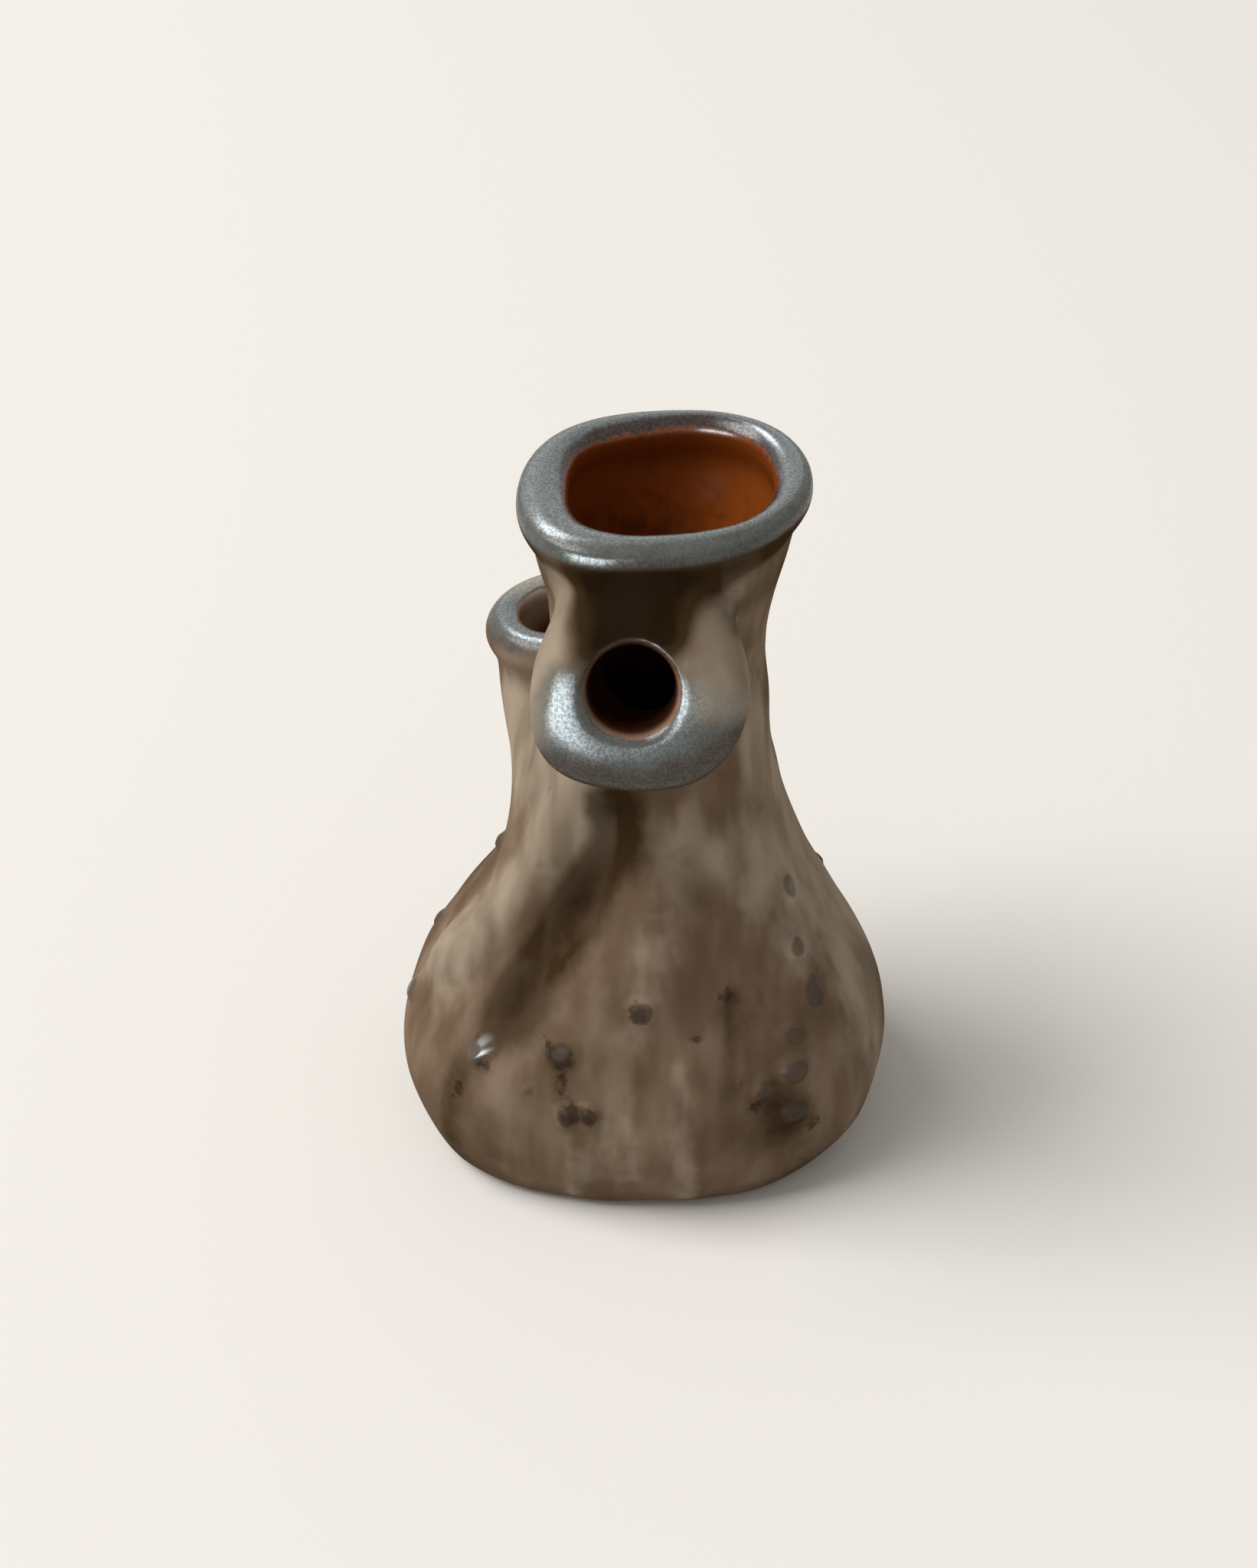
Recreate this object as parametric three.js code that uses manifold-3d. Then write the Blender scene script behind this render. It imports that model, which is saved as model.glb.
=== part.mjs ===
// A hand-built stoneware vase: a pinched bell of a belly on a flat foot, a neck that
// leans a little to the right, and three mouths with rolled lips. The main mouth is on
// top, a spout with a cushion-shaped lip faces the front, and a second one rises behind
// on the left. Clay crumbs sit on the glaze of the belly.
// Millimetres and degrees, +Z up, the front towards -Y, origin in the foot's face.
import * as THREE from 'three';
import { mergeVertices } from 'three/addons/utils/BufferGeometryUtils.js';
import Module from 'manifold-3d';

// Outline of belly and neck. Each rise is counted from the level below it.
const FOOT_HALF_WIDTH = 32.4;
const FOOT_HALF_DEPTH = 27.4;
const FOOT_SHIFT = -1.4;
const HEEL_RISE = 6;
const HEEL_HALF_WIDTH = 37.2;
const HEEL_HALF_DEPTH = 29.7;
const HEEL_SHIFT = -0.6;
const BELLY_RISE = 11;
const BELLY_HALF_WIDTH = 39.4;
const BELLY_HALF_DEPTH = 30.7;
const SHOULDER_RISE = 21;
const SHOULDER_HALF_WIDTH = 30.9;
const SHOULDER_HALF_DEPTH = 25.0;
const SHOULDER_SHIFT = 0.8;
const SEAM_RISE = 12;
const SEAM_HALF_WIDTH = 24.7;
const SEAM_HALF_DEPTH = 20.8;
const SEAM_SHIFT = 1.2;
const COLLAR_RISE = 14;
const COLLAR_HALF_WIDTH = 19.5;
const COLLAR_HALF_DEPTH = 17.2;
const COLLAR_SHIFT = 1.2;
const THROAT_RISE = 26;
const THROAT_HALF_WIDTH = 15.8;
const THROAT_HALF_DEPTH = 15.5;
const NECK_SHIFT = 1.7;
const FLARE_RISE = 5;
const RIM_RISE = 21;
const RIM_SHIFT = 2.6;

// Squareness of the plan outline: 2 is an ellipse, more is closer to a rectangle.
const FOOT_SQUARENESS = 2.5;
const BELLY_SQUARENESS = 2.3;
const NECK_SQUARENESS = 2.0;

// Clay thicknesses, and the slip-filled joint between two pieces.
const FLOOR_THICKNESS = 5;
const BELLY_WALL = 4.2;
const NECK_WALL = 3.8;
const JOINT_GAP = 0.3;

// The hollow that a thumb pressed into the front left shoulder.
const PRESS_AZIMUTH = -136;
const PRESS_ABOVE_SEAM = 2;
const PRESS_DEPTH = 1.6;
const PRESS_SPREAD = 20;
const PRESS_TALL = 11;

// Main lip: distance of the coil's centre line from the neck's axis, eight ways round,
// anticlockwise from +X, and the size of the coil.
const LIP_REACHES = [18.6, 20.4, 18.0, 18.5, 18.0, 19.3, 15.6, 15.9];
const LIP_COIL_HEIGHT = 5;
const LIP_COIL_WIDTH = 4.8;
const LIP_WIDER_ON_LEFT = 0.7;
const LIP_SEAT_DROP = 1.5;
const LIP_OVERHANG = 1;

// Front spout: where its lip stands round the neck, how it faces, where its stem starts
// inside the neck, and the reaches of its cushion-shaped lip from the middle of the bore,
// eight ways round, anticlockwise from the viewer's right.
const FRONT_AZIMUTH = -99.8;
const FRONT_REACH = 22.2;
const FRONT_ABOVE_SEAM = 50;
const FRONT_FACING = -91;
const FRONT_PITCH = 23.5;
const FRONT_ROOT_AZIMUTH = -95;
const FRONT_ROOT_REACH = 5;
const FRONT_ROOT_DROP = 7;
const FRONT_ROOT_RADIUS = 9.4;
const FRONT_SEAT_RADIUS = 11.2;
const FRONT_BORE_RADIUS = 6.3;
const FRONT_LIP_REACHES = [16.2, 15.2, 11.2, 12.7, 13.0, 15.2, 14.3, 15.6];
const FRONT_LIP_THICKNESS = 6.2;

// Back spout: rises behind on the left and opens upwards, with an almost round lip.
const BACK_AZIMUTH = 127;
const BACK_REACH = 23.9;
const BACK_ABOVE_SEAM = 32.6;
const BACK_FACING = 160;
const BACK_PITCH = 85;
const BACK_ROOT_AZIMUTH = 148;
const BACK_ROOT_REACH = 10.5;
const BACK_ROOT_DROP = 20;
const BACK_ROOT_RADIUS = 12;
const BACK_SEAT_RADIUS = 11.6;
const BACK_BORE_RADIUS = 6.3;
const BACK_LIP_REACHES = [11.6, 11.5, 11.5, 11.8, 12.2, 12.0, 11.6, 11.6];
const BACK_LIP_THICKNESS = 5.2;

// Crumbs of clay on the belly: azimuth and height of each, its length up the wall, its
// width, and how far it stands out.
const CRUMB_SINK = 0.9;
const CRUMBS = [
  { azimuth: -26.0, height: 53.4, length: 4.4, width: 2.8, proud: 1.1 },
  { azimuth: -34.0, height: 45.2, length: 3.0, width: 2.4, proud: 0.9 },
  { azimuth: -35.0, height: 38.3, length: 5.2, width: 3.4, proud: 1.4 },
  { azimuth: -44.5, height: 32.8, length: 3.4, width: 3.0, proud: 0.8 },
  { azimuth: -46.5, height: 27.3, length: 4.2, width: 3.8, proud: 1.3 },
  { azimuth: -54.5, height: 25.0, length: 3.0, width: 3.4, proud: 0.8 },
  { azimuth: -47.0, height: 19.5, length: 4.0, width: 4.4, proud: 1.1 },
  { azimuth: -93.5, height: 40.3, length: 3.6, width: 4.0, proud: 0.7 },
  { azimuth: -142.3, height: 28.4, length: 4.2, width: 4.0, proud: 1.5 },
  { azimuth: -175.1, height: 25.7, length: 3.4, width: 3.0, proud: 1.2 },
  { azimuth: -118.0, height: 32.7, length: 3.4, width: 5.0, proud: 0.8 },
  { azimuth: -113.3, height: 22.0, length: 3.8, width: 2.8, proud: 0.9 },
  { azimuth: -107.0, height: 22.8, length: 3.2, width: 2.6, proud: 0.9 },
  { azimuth: 173.0, height: 51.6, length: 2.6, width: 2.4, proud: 1.0 },
  { azimuth: 168.7, height: 32.0, length: 2.8, width: 2.4, proud: 0.9 },
];

// Fineness of the facets.
const ROUND_STEPS = 48;
const SPOUT_STEPS = 32;
const STEM_BANDS = 7;
const CRUMB_STEPS = 10;
const CRUMB_BANDS = 7;

const wasm = await Module();
wasm.setup();

const HEEL_Z = HEEL_RISE;
const BELLY_Z = HEEL_Z + BELLY_RISE;
const SHOULDER_Z = BELLY_Z + SHOULDER_RISE;
const SEAM_Z = SHOULDER_Z + SEAM_RISE;
const COLLAR_Z = SEAM_Z + COLLAR_RISE;
const THROAT_Z = COLLAR_Z + THROAT_RISE;
const FLARE_Z = THROAT_Z + FLARE_RISE;
const LIP_SEAT_Z = FLARE_Z + RIM_RISE;
const LIP_CENTRE_Z = LIP_SEAT_Z + LIP_SEAT_DROP;
const LIP_HALF_HEIGHT = LIP_COIL_HEIGHT / 2;

// Level, half width, half depth, sideways shift and squareness of the outer outline.
const LEVELS = [
  [0, FOOT_HALF_WIDTH, FOOT_HALF_DEPTH, FOOT_SHIFT, FOOT_SQUARENESS],
  [HEEL_Z, HEEL_HALF_WIDTH, HEEL_HALF_DEPTH, HEEL_SHIFT, FOOT_SQUARENESS],
  [BELLY_Z, BELLY_HALF_WIDTH, BELLY_HALF_DEPTH, 0, BELLY_SQUARENESS],
  [SHOULDER_Z, SHOULDER_HALF_WIDTH, SHOULDER_HALF_DEPTH, SHOULDER_SHIFT, BELLY_SQUARENESS],
  [SEAM_Z, SEAM_HALF_WIDTH, SEAM_HALF_DEPTH, SEAM_SHIFT, NECK_SQUARENESS],
  [COLLAR_Z, COLLAR_HALF_WIDTH, COLLAR_HALF_DEPTH, COLLAR_SHIFT, NECK_SQUARENESS],
  [THROAT_Z, THROAT_HALF_WIDTH, THROAT_HALF_DEPTH, NECK_SHIFT, NECK_SQUARENESS],
];
const outlineAt = new THREE.CubicInterpolant(
  new Float32Array(LEVELS.map((level) => level[0])),
  new Float32Array(LEVELS.flatMap((level) => level.slice(1))),
  LEVELS[0].length - 1,
);

// A closed curve through points at even turns round its middle, at the reaches given.
function closedCurve(reaches) {
  const points = reaches.map((reach, i) => {
    const angle = (i / reaches.length) * 2 * Math.PI;
    return new THREE.Vector3(reach * Math.cos(angle), reach * Math.sin(angle), 0);
  });
  return new THREE.CatmullRomCurve3(points, true, 'catmullrom');
}

const lipCurve = closedCurve(LIP_REACHES);

// Direction at an azimuth from +X, anticlockwise, and a pitch above the horizontal.
function direction(azimuth, pitch) {
  const turn = THREE.MathUtils.degToRad(azimuth);
  const rise = THREE.MathUtils.degToRad(pitch);
  return new THREE.Vector3(
    Math.cos(rise) * Math.cos(turn),
    Math.cos(rise) * Math.sin(turn),
    Math.sin(rise),
  );
}

// Distance from the middle of a rounded rectangle to its outline, one way out.
function outlineRadius(halfWidth, halfDepth, squareness, angle) {
  const across = Math.abs(Math.cos(angle) / halfWidth) ** squareness;
  const along = Math.abs(Math.sin(angle) / halfDepth) ** squareness;
  return (across + along) ** (-1 / squareness);
}

// How deep the thumb's hollow is at an angle and a height.
function pressDepth(angle, z) {
  const away = angle - THREE.MathUtils.degToRad(PRESS_AZIMUTH);
  const turned = THREE.MathUtils.radToDeg(Math.atan2(Math.sin(away), Math.cos(away)));
  const climbed = z - SEAM_Z - PRESS_ABOVE_SEAM;
  return PRESS_DEPTH * Math.exp(-((turned / PRESS_SPREAD) ** 2) - (climbed / PRESS_TALL) ** 2);
}

// Half the width of the lip's coil, which is wider on the left.
function lipHalfWidth(angle) {
  return (LIP_COIL_WIDTH - LIP_WIDER_ON_LEFT * Math.cos(angle)) / 2;
}

// One point of the lip, moved out from the coil's centre line in plan.
function lipPoint(i, out, z) {
  const turn = i / ROUND_STEPS;
  const tangent = lipCurve.getTangent(turn);
  const point = lipCurve.getPoint(turn);
  return new THREE.Vector3(RIM_SHIFT + point.x + tangent.y * out, point.y - tangent.x * out, z);
}

// Half the width of the wall where the lip's coil is seated on it.
function seatHalfWidth(angle) {
  const drop = LIP_SEAT_DROP / LIP_HALF_HEIGHT;
  return lipHalfWidth(angle) * Math.sqrt(1 - drop * drop);
}

// One ring of the wall, set in from the outer outline, or out where inset is negative.
// Above the flare the outline passes over into that of the lip.
function wallRing(z, inset) {
  const [halfWidth, halfDepth, shift, squareness] = outlineAt.evaluate(Math.min(z, THROAT_Z));
  const toLip = THREE.MathUtils.smoothstep(z, FLARE_Z, LIP_SEAT_Z);
  const ring = [];
  for (let i = 0; i < ROUND_STEPS; i += 1) {
    const angle = (i / ROUND_STEPS) * 2 * Math.PI;
    const reach = outlineRadius(halfWidth - inset, halfDepth - inset, squareness, angle)
      - pressDepth(angle, z);
    const point = new THREE.Vector3(shift + reach * Math.cos(angle), reach * Math.sin(angle), z);
    const seat = seatHalfWidth(angle);
    const out = THREE.MathUtils.lerp(seat - LIP_OVERHANG, -seat, inset / NECK_WALL);
    ring.push(point.lerp(lipPoint(i, out, z), toLip));
  }
  return ring;
}

// Even levels from one height to another, both included.
function levels(from, to, count) {
  return Array.from({ length: count + 1 }, (_, i) => from + ((to - from) * i) / count);
}

// A closed mesh through rings with the same number of points. Its ends are flat caps, or
// the last ring joins the first where the skin closes on itself like a torus.
function skin(rings, closed) {
  const steps = rings[0].length;
  const positions = rings.flat().flatMap((point) => [point.x, point.y, point.z]);
  const index = [];
  const spans = closed ? rings.length : rings.length - 1;
  for (let r = 0; r < spans; r += 1) {
    const low = r * steps;
    const high = ((r + 1) % rings.length) * steps;
    for (let i = 0; i < steps; i += 1) {
      const next = (i + 1) % steps;
      index.push(low + i, low + next, high + next);
      index.push(low + i, high + next, high + i);
    }
  }
  if (!closed) {
    capEnd(positions, index, rings, 0, true);
    capEnd(positions, index, rings, rings.length - 1, false);
  }
  const geometry = new THREE.BufferGeometry();
  geometry.setAttribute('position', new THREE.Float32BufferAttribute(positions, 3));
  geometry.setIndex(index);
  return geometry;
}

// Closes one end of a skin with triangles that meet in the middle of its ring.
function capEnd(positions, index, rings, r, first) {
  const ring = rings[r];
  const steps = ring.length;
  const middle = new THREE.Vector3();
  ring.forEach((point) => middle.addScaledVector(point, 1 / steps));
  const centre = positions.length / 3;
  positions.push(middle.x, middle.y, middle.z);
  for (let i = 0; i < steps; i += 1) {
    const here = r * steps + i;
    const next = r * steps + ((i + 1) % steps);
    index.push(centre, first ? next : here, first ? here : next);
  }
}

function toSolid(geometry) {
  const bare = geometry.clone();
  bare.deleteAttribute('normal');
  bare.deleteAttribute('uv');
  const merged = mergeVertices(bare, 1e-4);
  return new wasm.Manifold(new wasm.Mesh({
    numProp: 3,
    vertProperties: new Float32Array(merged.attributes.position.array),
    triVerts: new Uint32Array(merged.index.array),
  }));
}

function toGeometry(solid) {
  const mesh = solid.getMesh();
  const geometry = new THREE.BufferGeometry();
  geometry.setAttribute('position', new THREE.BufferAttribute(mesh.vertProperties, 3));
  geometry.setIndex(new THREE.BufferAttribute(mesh.triVerts, 1));
  return geometry;
}

function solidOf(rings) {
  return toSolid(skin(rings, false));
}

// Colours and sheen of the fired surfaces.
function glaze(colour, roughness) {
  return new THREE.MeshStandardMaterial({ color: colour, roughness, metalness: 0 });
}
const taupeGlaze = () => glaze('#6f6154', 0.62);
const lipGlaze = () => glaze('#5f6464', 0.32);
const crumbGlaze = () => glaze('#3b2f27', 0.3);

const vase = new THREE.Group();
function addPiece(name, geometry, material) {
  const mesh = new THREE.Mesh(geometry, material);
  mesh.name = name;
  mesh.geometry.computeVertexNormals();
  vase.add(mesh);
}

// Foot and walls
function floorSlab() {
  return skin(levels(0, FLOOR_THICKNESS, 3).map((z) => wallRing(z, 0)), false);
}

function bellyWall() {
  const outer = levels(FLOOR_THICKNESS, SEAM_Z, 11).map((z) => wallRing(z, 0));
  const inner = levels(SEAM_Z, FLOOR_THICKNESS, 7).map((z) => wallRing(z, BELLY_WALL));
  return skin([...outer, ...inner], true);
}

// The neck's wall starts as thick as the belly's and thins to its own size.
function neckInset(z) {
  return THREE.MathUtils.lerp(BELLY_WALL, NECK_WALL, THREE.MathUtils.smoothstep(z, SEAM_Z, COLLAR_Z));
}

function neckShell() {
  const outer = levels(SEAM_Z, LIP_SEAT_Z, 12).map((z) => wallRing(z, 0));
  const inner = levels(LIP_SEAT_Z, SEAM_Z, 9).map((z) => wallRing(z, neckInset(z)));
  return toSolid(skin([...outer, ...inner], true));
}

function neckHollow() {
  return solidOf(levels(SEAM_Z, LIP_SEAT_Z, 9).map((z) => wallRing(z, neckInset(z))));
}

// Everything inside the outer face of belly and neck, with the joint's gap added.
function wholeOutside() {
  return solidOf(levels(0, LIP_SEAT_Z, 28).map((z) => wallRing(z, -JOINT_GAP)));
}

// The lip's coil, flat where it is seated on the neck.
function mainLip() {
  const flatFrom = Math.asin(-LIP_SEAT_DROP / LIP_HALF_HEIGHT);
  const rings = levels(flatFrom, Math.PI - flatFrom, 12).map((turn) => {
    const z = turn === flatFrom || turn === Math.PI - flatFrom
      ? LIP_SEAT_Z
      : LIP_CENTRE_Z + LIP_HALF_HEIGHT * Math.sin(turn);
    return Array.from({ length: ROUND_STEPS }, (_, i) => {
      const angle = (i / ROUND_STEPS) * 2 * Math.PI;
      return lipPoint(i, lipHalfWidth(angle) * Math.cos(turn), z);
    });
  });
  return skin(rings, true);
}

// Front and back spout share one make-up: a bent stem that starts inside the neck, a
// bore through it, and a lip seated on its end. Their sideways direction lies level.
function spoutFrame(spec) {
  const pointAt = (azimuth, reach, z) => {
    const point = direction(azimuth, 0).multiplyScalar(reach);
    return point.add(new THREE.Vector3(NECK_SHIFT, 0, z));
  };
  const mouth = pointAt(spec.azimuth, spec.reach, SEAM_Z + spec.aboveSeam);
  const facing = direction(spec.facing, spec.pitch);
  const side = new THREE.Vector3(0, 0, 1).cross(direction(spec.azimuth, 0));
  const seat = mouth.addScaledVector(facing, -spec.lipThickness / 2);
  const root = pointAt(spec.rootAzimuth, spec.rootReach, seat.z - spec.rootDrop);
  const bend = seat.clone().addScaledVector(facing, -spec.rootDrop / 2);
  return { ...spec, facing, side, seat, curve: new THREE.QuadraticBezierCurve3(root, bend, seat) };
}

const front = spoutFrame({
  azimuth: FRONT_AZIMUTH,
  reach: FRONT_REACH,
  aboveSeam: FRONT_ABOVE_SEAM,
  facing: FRONT_FACING,
  pitch: FRONT_PITCH,
  rootAzimuth: FRONT_ROOT_AZIMUTH,
  rootReach: FRONT_ROOT_REACH,
  rootDrop: FRONT_ROOT_DROP,
  rootRadius: FRONT_ROOT_RADIUS,
  seatRadius: FRONT_SEAT_RADIUS,
  boreRadius: FRONT_BORE_RADIUS,
  lipReaches: FRONT_LIP_REACHES,
  lipThickness: FRONT_LIP_THICKNESS,
});
const back = spoutFrame({
  azimuth: BACK_AZIMUTH,
  reach: BACK_REACH,
  aboveSeam: BACK_ABOVE_SEAM,
  facing: BACK_FACING,
  pitch: BACK_PITCH,
  rootAzimuth: BACK_ROOT_AZIMUTH,
  rootReach: BACK_ROOT_REACH,
  rootDrop: BACK_ROOT_DROP,
  rootRadius: BACK_ROOT_RADIUS,
  seatRadius: BACK_SEAT_RADIUS,
  boreRadius: BACK_BORE_RADIUS,
  lipReaches: BACK_LIP_REACHES,
  lipThickness: BACK_LIP_THICKNESS,
});

// A ring of a spout, in the plane square to a direction. The outline gives the distance
// sideways and upwards for each step round.
function spoutRing(spout, centre, facing, outline) {
  const up = new THREE.Vector3().crossVectors(facing, spout.side).normalize();
  const side = new THREE.Vector3().crossVectors(up, facing);
  return Array.from({ length: SPOUT_STEPS }, (_, i) => {
    const [across, rise] = outline(i / SPOUT_STEPS);
    return centre.clone().addScaledVector(side, across).addScaledVector(up, rise);
  });
}

function circleOutline(radius) {
  return (turn) => [radius * Math.cos(turn * 2 * Math.PI), radius * Math.sin(turn * 2 * Math.PI)];
}

// A solid that follows the spout's curve up to its seat, or past it by an overrun.
function alongSpout(spout, radiusAt, overrun) {
  const rings = levels(0, 1, STEM_BANDS).map((share) => {
    const facing = spout.curve.getTangent(share);
    return spoutRing(spout, spout.curve.getPoint(share), facing, circleOutline(radiusAt(share)));
  });
  if (overrun > 0) {
    const end = spout.seat.clone().addScaledVector(spout.facing, overrun);
    rings.push(spoutRing(spout, end, spout.facing, circleOutline(radiusAt(1))));
  }
  return solidOf(rings);
}

function stemOutside(spout, grown) {
  const radiusAt = (share) => {
    return grown + THREE.MathUtils.lerp(spout.rootRadius, spout.seatRadius, share ** 2);
  };
  return alongSpout(spout, radiusAt, 0);
}

function stem(spout) {
  const bore = alongSpout(spout, () => spout.boreRadius, JOINT_GAP);
  return stemOutside(spout, 0).subtract(bore).subtract(neckHollow());
}

// The lip is a cushion with a flat back on the stem, a rounded edge and a face that
// rolls into the bore. Each row is a share of the way in from edge to bore, and a share
// of the lip's thickness above its back.
const LIP_ROWS = [
  [1, 0],
  [0.2, 0],
  [0.05, 0.14],
  [0, 0.38],
  [0.04, 0.6],
  [0.16, 0.82],
  [0.38, 0.96],
  [0.6, 1],
  [0.82, 0.88],
  [0.96, 0.6],
  [1, 0.3],
];

function spoutLip(spout) {
  const edge = closedCurve(spout.lipReaches);
  const hole = circleOutline(spout.boreRadius);
  const rings = LIP_ROWS.map(([inward, height]) => {
    const level = JOINT_GAP + (spout.lipThickness - JOINT_GAP) * height;
    const centre = spout.seat.clone().addScaledVector(spout.facing, level);
    return spoutRing(spout, centre, spout.facing, (turn) => {
      const point = edge.getPoint(turn);
      const [across, rise] = hole(turn);
      return [
        THREE.MathUtils.lerp(point.x, across, inward),
        THREE.MathUtils.lerp(point.y, rise, inward),
      ];
    });
  });
  return toSolid(skin(rings, true));
}

// A crumb is a flattened ball, cut by the wall that it sits on.
function crumb(spec, outside) {
  const azimuth = THREE.MathUtils.degToRad(spec.azimuth);
  const step = 0.5;
  const pointAt = (angle, z) => {
    const [halfWidth, halfDepth, shift, squareness] = outlineAt.evaluate(z);
    const reach = outlineRadius(halfWidth, halfDepth, squareness, angle) - pressDepth(angle, z);
    return new THREE.Vector3(shift + reach * Math.cos(angle), reach * Math.sin(angle), z);
  };
  const here = pointAt(azimuth, spec.height);
  const round = pointAt(azimuth + 0.01, spec.height).sub(here).normalize();
  const upward = pointAt(azimuth, spec.height + step).sub(here).normalize();
  const out = new THREE.Vector3().crossVectors(round, upward).normalize();
  const climb = new THREE.Vector3().crossVectors(out, round);
  const ball = new THREE.SphereGeometry(1, CRUMB_STEPS, CRUMB_BANDS);
  ball.scale(spec.width / 2, spec.length / 2, CRUMB_SINK + spec.proud);
  ball.applyMatrix4(new THREE.Matrix4().makeBasis(round, climb, out));
  const centre = here.addScaledVector(out, -CRUMB_SINK);
  ball.translate(centre.x, centre.y, centre.z);
  return toSolid(ball).subtract(outside);
}

const outside = wholeOutside();
addPiece('floor_slab', floorSlab(), taupeGlaze());
addPiece('belly_wall', bellyWall(), taupeGlaze());
const neck = neckShell()
  .subtract(stemOutside(front, JOINT_GAP))
  .subtract(stemOutside(back, JOINT_GAP));
addPiece('neck_wall', toGeometry(neck), taupeGlaze());
addPiece('main_lip', mainLip(), lipGlaze());
addPiece('front_spout', toGeometry(stem(front)), taupeGlaze());
addPiece('front_lip', toGeometry(spoutLip(front).subtract(outside)), lipGlaze());
addPiece('back_spout', toGeometry(stem(back)), taupeGlaze());
addPiece('back_lip', toGeometry(spoutLip(back).subtract(outside)), lipGlaze());
CRUMBS.forEach((spec, i) => {
  const name = `crumb_${String(i + 1).padStart(2, '0')}`;
  addPiece(name, toGeometry(crumb(spec, outside)), crumbGlaze());
});

export default vase;
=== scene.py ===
"""Hand-built pottery vase with a rolled main lip and two side spouts, dressed around its frame.

The whole pot is described once as a distance field in millimetres. Its surface is meshed,
cut along the joints between the potter's clay pieces, and each piece is closed and glazed.
"""
import math
from dataclasses import dataclass

import bpy
import numpy as np
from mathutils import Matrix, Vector


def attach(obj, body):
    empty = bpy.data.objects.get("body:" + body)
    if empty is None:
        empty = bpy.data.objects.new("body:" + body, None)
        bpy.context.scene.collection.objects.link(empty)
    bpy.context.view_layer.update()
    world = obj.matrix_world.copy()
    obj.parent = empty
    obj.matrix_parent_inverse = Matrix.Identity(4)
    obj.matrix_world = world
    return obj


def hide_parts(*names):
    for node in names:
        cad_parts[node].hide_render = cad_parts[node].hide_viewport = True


bl_info = {
    "name": "Pottery Vase",
    "version": (1, 0, 0),
    "blender": (4, 5, 0),
    "location": "View3D > Sidebar > Vase",
    "description": "Builds a hand-built stoneware vase with a rolled lip and two side spouts",
    "category": "Object",
}

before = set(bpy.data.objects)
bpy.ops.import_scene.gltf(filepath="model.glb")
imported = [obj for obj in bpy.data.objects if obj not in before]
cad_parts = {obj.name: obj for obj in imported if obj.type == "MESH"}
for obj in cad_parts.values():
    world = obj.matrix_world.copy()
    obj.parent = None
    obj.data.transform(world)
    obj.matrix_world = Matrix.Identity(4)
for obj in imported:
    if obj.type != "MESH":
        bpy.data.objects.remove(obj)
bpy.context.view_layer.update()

MM = 0.001
BODY = "root"

# Lamps of the stage: name, azimuth, pitch, distance and size in metres, watts, colour, and whether
# matte surfaces get the light too.
LAMPS = (
    ("window", -178.0, 52.0, 4.0, 2.5, 160.0, (1.0, 0.99, 0.97), True),
    ("left_glint", -120.0, 6.0, 0.8, 0.6, 30.0, (0.8, 0.93, 1.0), False),
    ("top_glint", 95.0, 42.0, 0.8, 0.9, 4.0, (0.8, 0.93, 1.0), False),
    ("back_glint", 126.0, 50.0, 0.8, 0.22, 5.0, (0.84, 0.94, 1.0), False),
)
LAMPS_AIM = (0.0, 0.0, 0.06)
SKY_COLOUR = (1.0, 0.97, 0.92, 1.0)
SKY_STRENGTH = 0.4
FLOOR_HALF = 20.0

# The camera: focal length and picture height in pixels, sensor in mm, tilt down in degrees, and its
# distance from the point that it looks at.
FOCAL_PIXELS = 3290
PICTURE_PIXELS = 2048
SENSOR = 36.0
CAMERA_TILT = 38.5
CAMERA_DISTANCE = 0.388
CAMERA_AIM = (-0.0026, 0.0, 0.0652)

# The grid that the surface is found on: its corners, how many steps make a coarse block, and how
# many blocks from the surface it is worked out in full.
GRID_LOW = np.array([-44.0, -38.0, -3.0])
GRID_HIGH = np.array([44.0, 38.0, 124.0])
GRID_BLOCK = 4
GRID_REACH = 1.35

# Outline of the body: height, half width, half depth, shift along X and squareness.
LEVELS = (
    (0.0, 32.4, 27.4, -1.4, 2.5),
    (6.0, 37.2, 29.7, -0.6, 2.5),
    (17.0, 39.4, 30.7, 0.0, 2.3),
    (38.0, 30.9, 25.0, 0.8, 2.3),
    (50.0, 24.7, 20.8, 1.2, 2.0),
    (64.0, 19.5, 17.2, 1.2, 2.0),
    (90.0, 15.8, 15.5, 1.7, 2.0),
)
FLOOR_TOP_Z = 5.0
SEAM_Z = 50.0
FLARE_Z = 95.0
LIP_SEAT_Z = 116.0
LIP_CENTRE_Z = 117.5
NECK_SHIFT = 1.7
RIM_SHIFT = 2.6

# Reach of the main lip's coil from its own centre, every 45 degrees from +X.
LIP_REACHES = (18.6, 20.4, 18.0, 18.5, 18.0, 19.3, 15.6, 15.9)
# Where its inner edge lies, every 22.5 degrees.
LIP_INNER_REACHES = (16.0, 16.9, 18.3, 17.8, 16.1, 15.6, 16.1, 14.9,
                     14.2, 14.9, 15.8, 15.0, 14.2, 14.1, 14.7, 15.1)
LIP_COIL_WIDTH = 4.8
LIP_WIDER_ON_LEFT = 0.7
LIP_OVERHANG = 1.0
# How far across the lip's half width the wall meets it.
LIP_SEAT_SHARE = 0.8

# Where the belly's wall thickness turns into the neck's.
WALL_THINS_FROM_Z = 44.0
WALL_THINS_TO_Z = 56.0

# How far edges and inner corners are rounded.
HEEL_ROUNDING = 3.2
FLOOR_FILLET = 5.0
RIM_ROUNDING = 0.8
MOUTH_ROUNDING = 1.0
STEM_ROUNDING = 1.0
COIL_FILLET = 3.2
BORE_FILLET = 2.0

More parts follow.
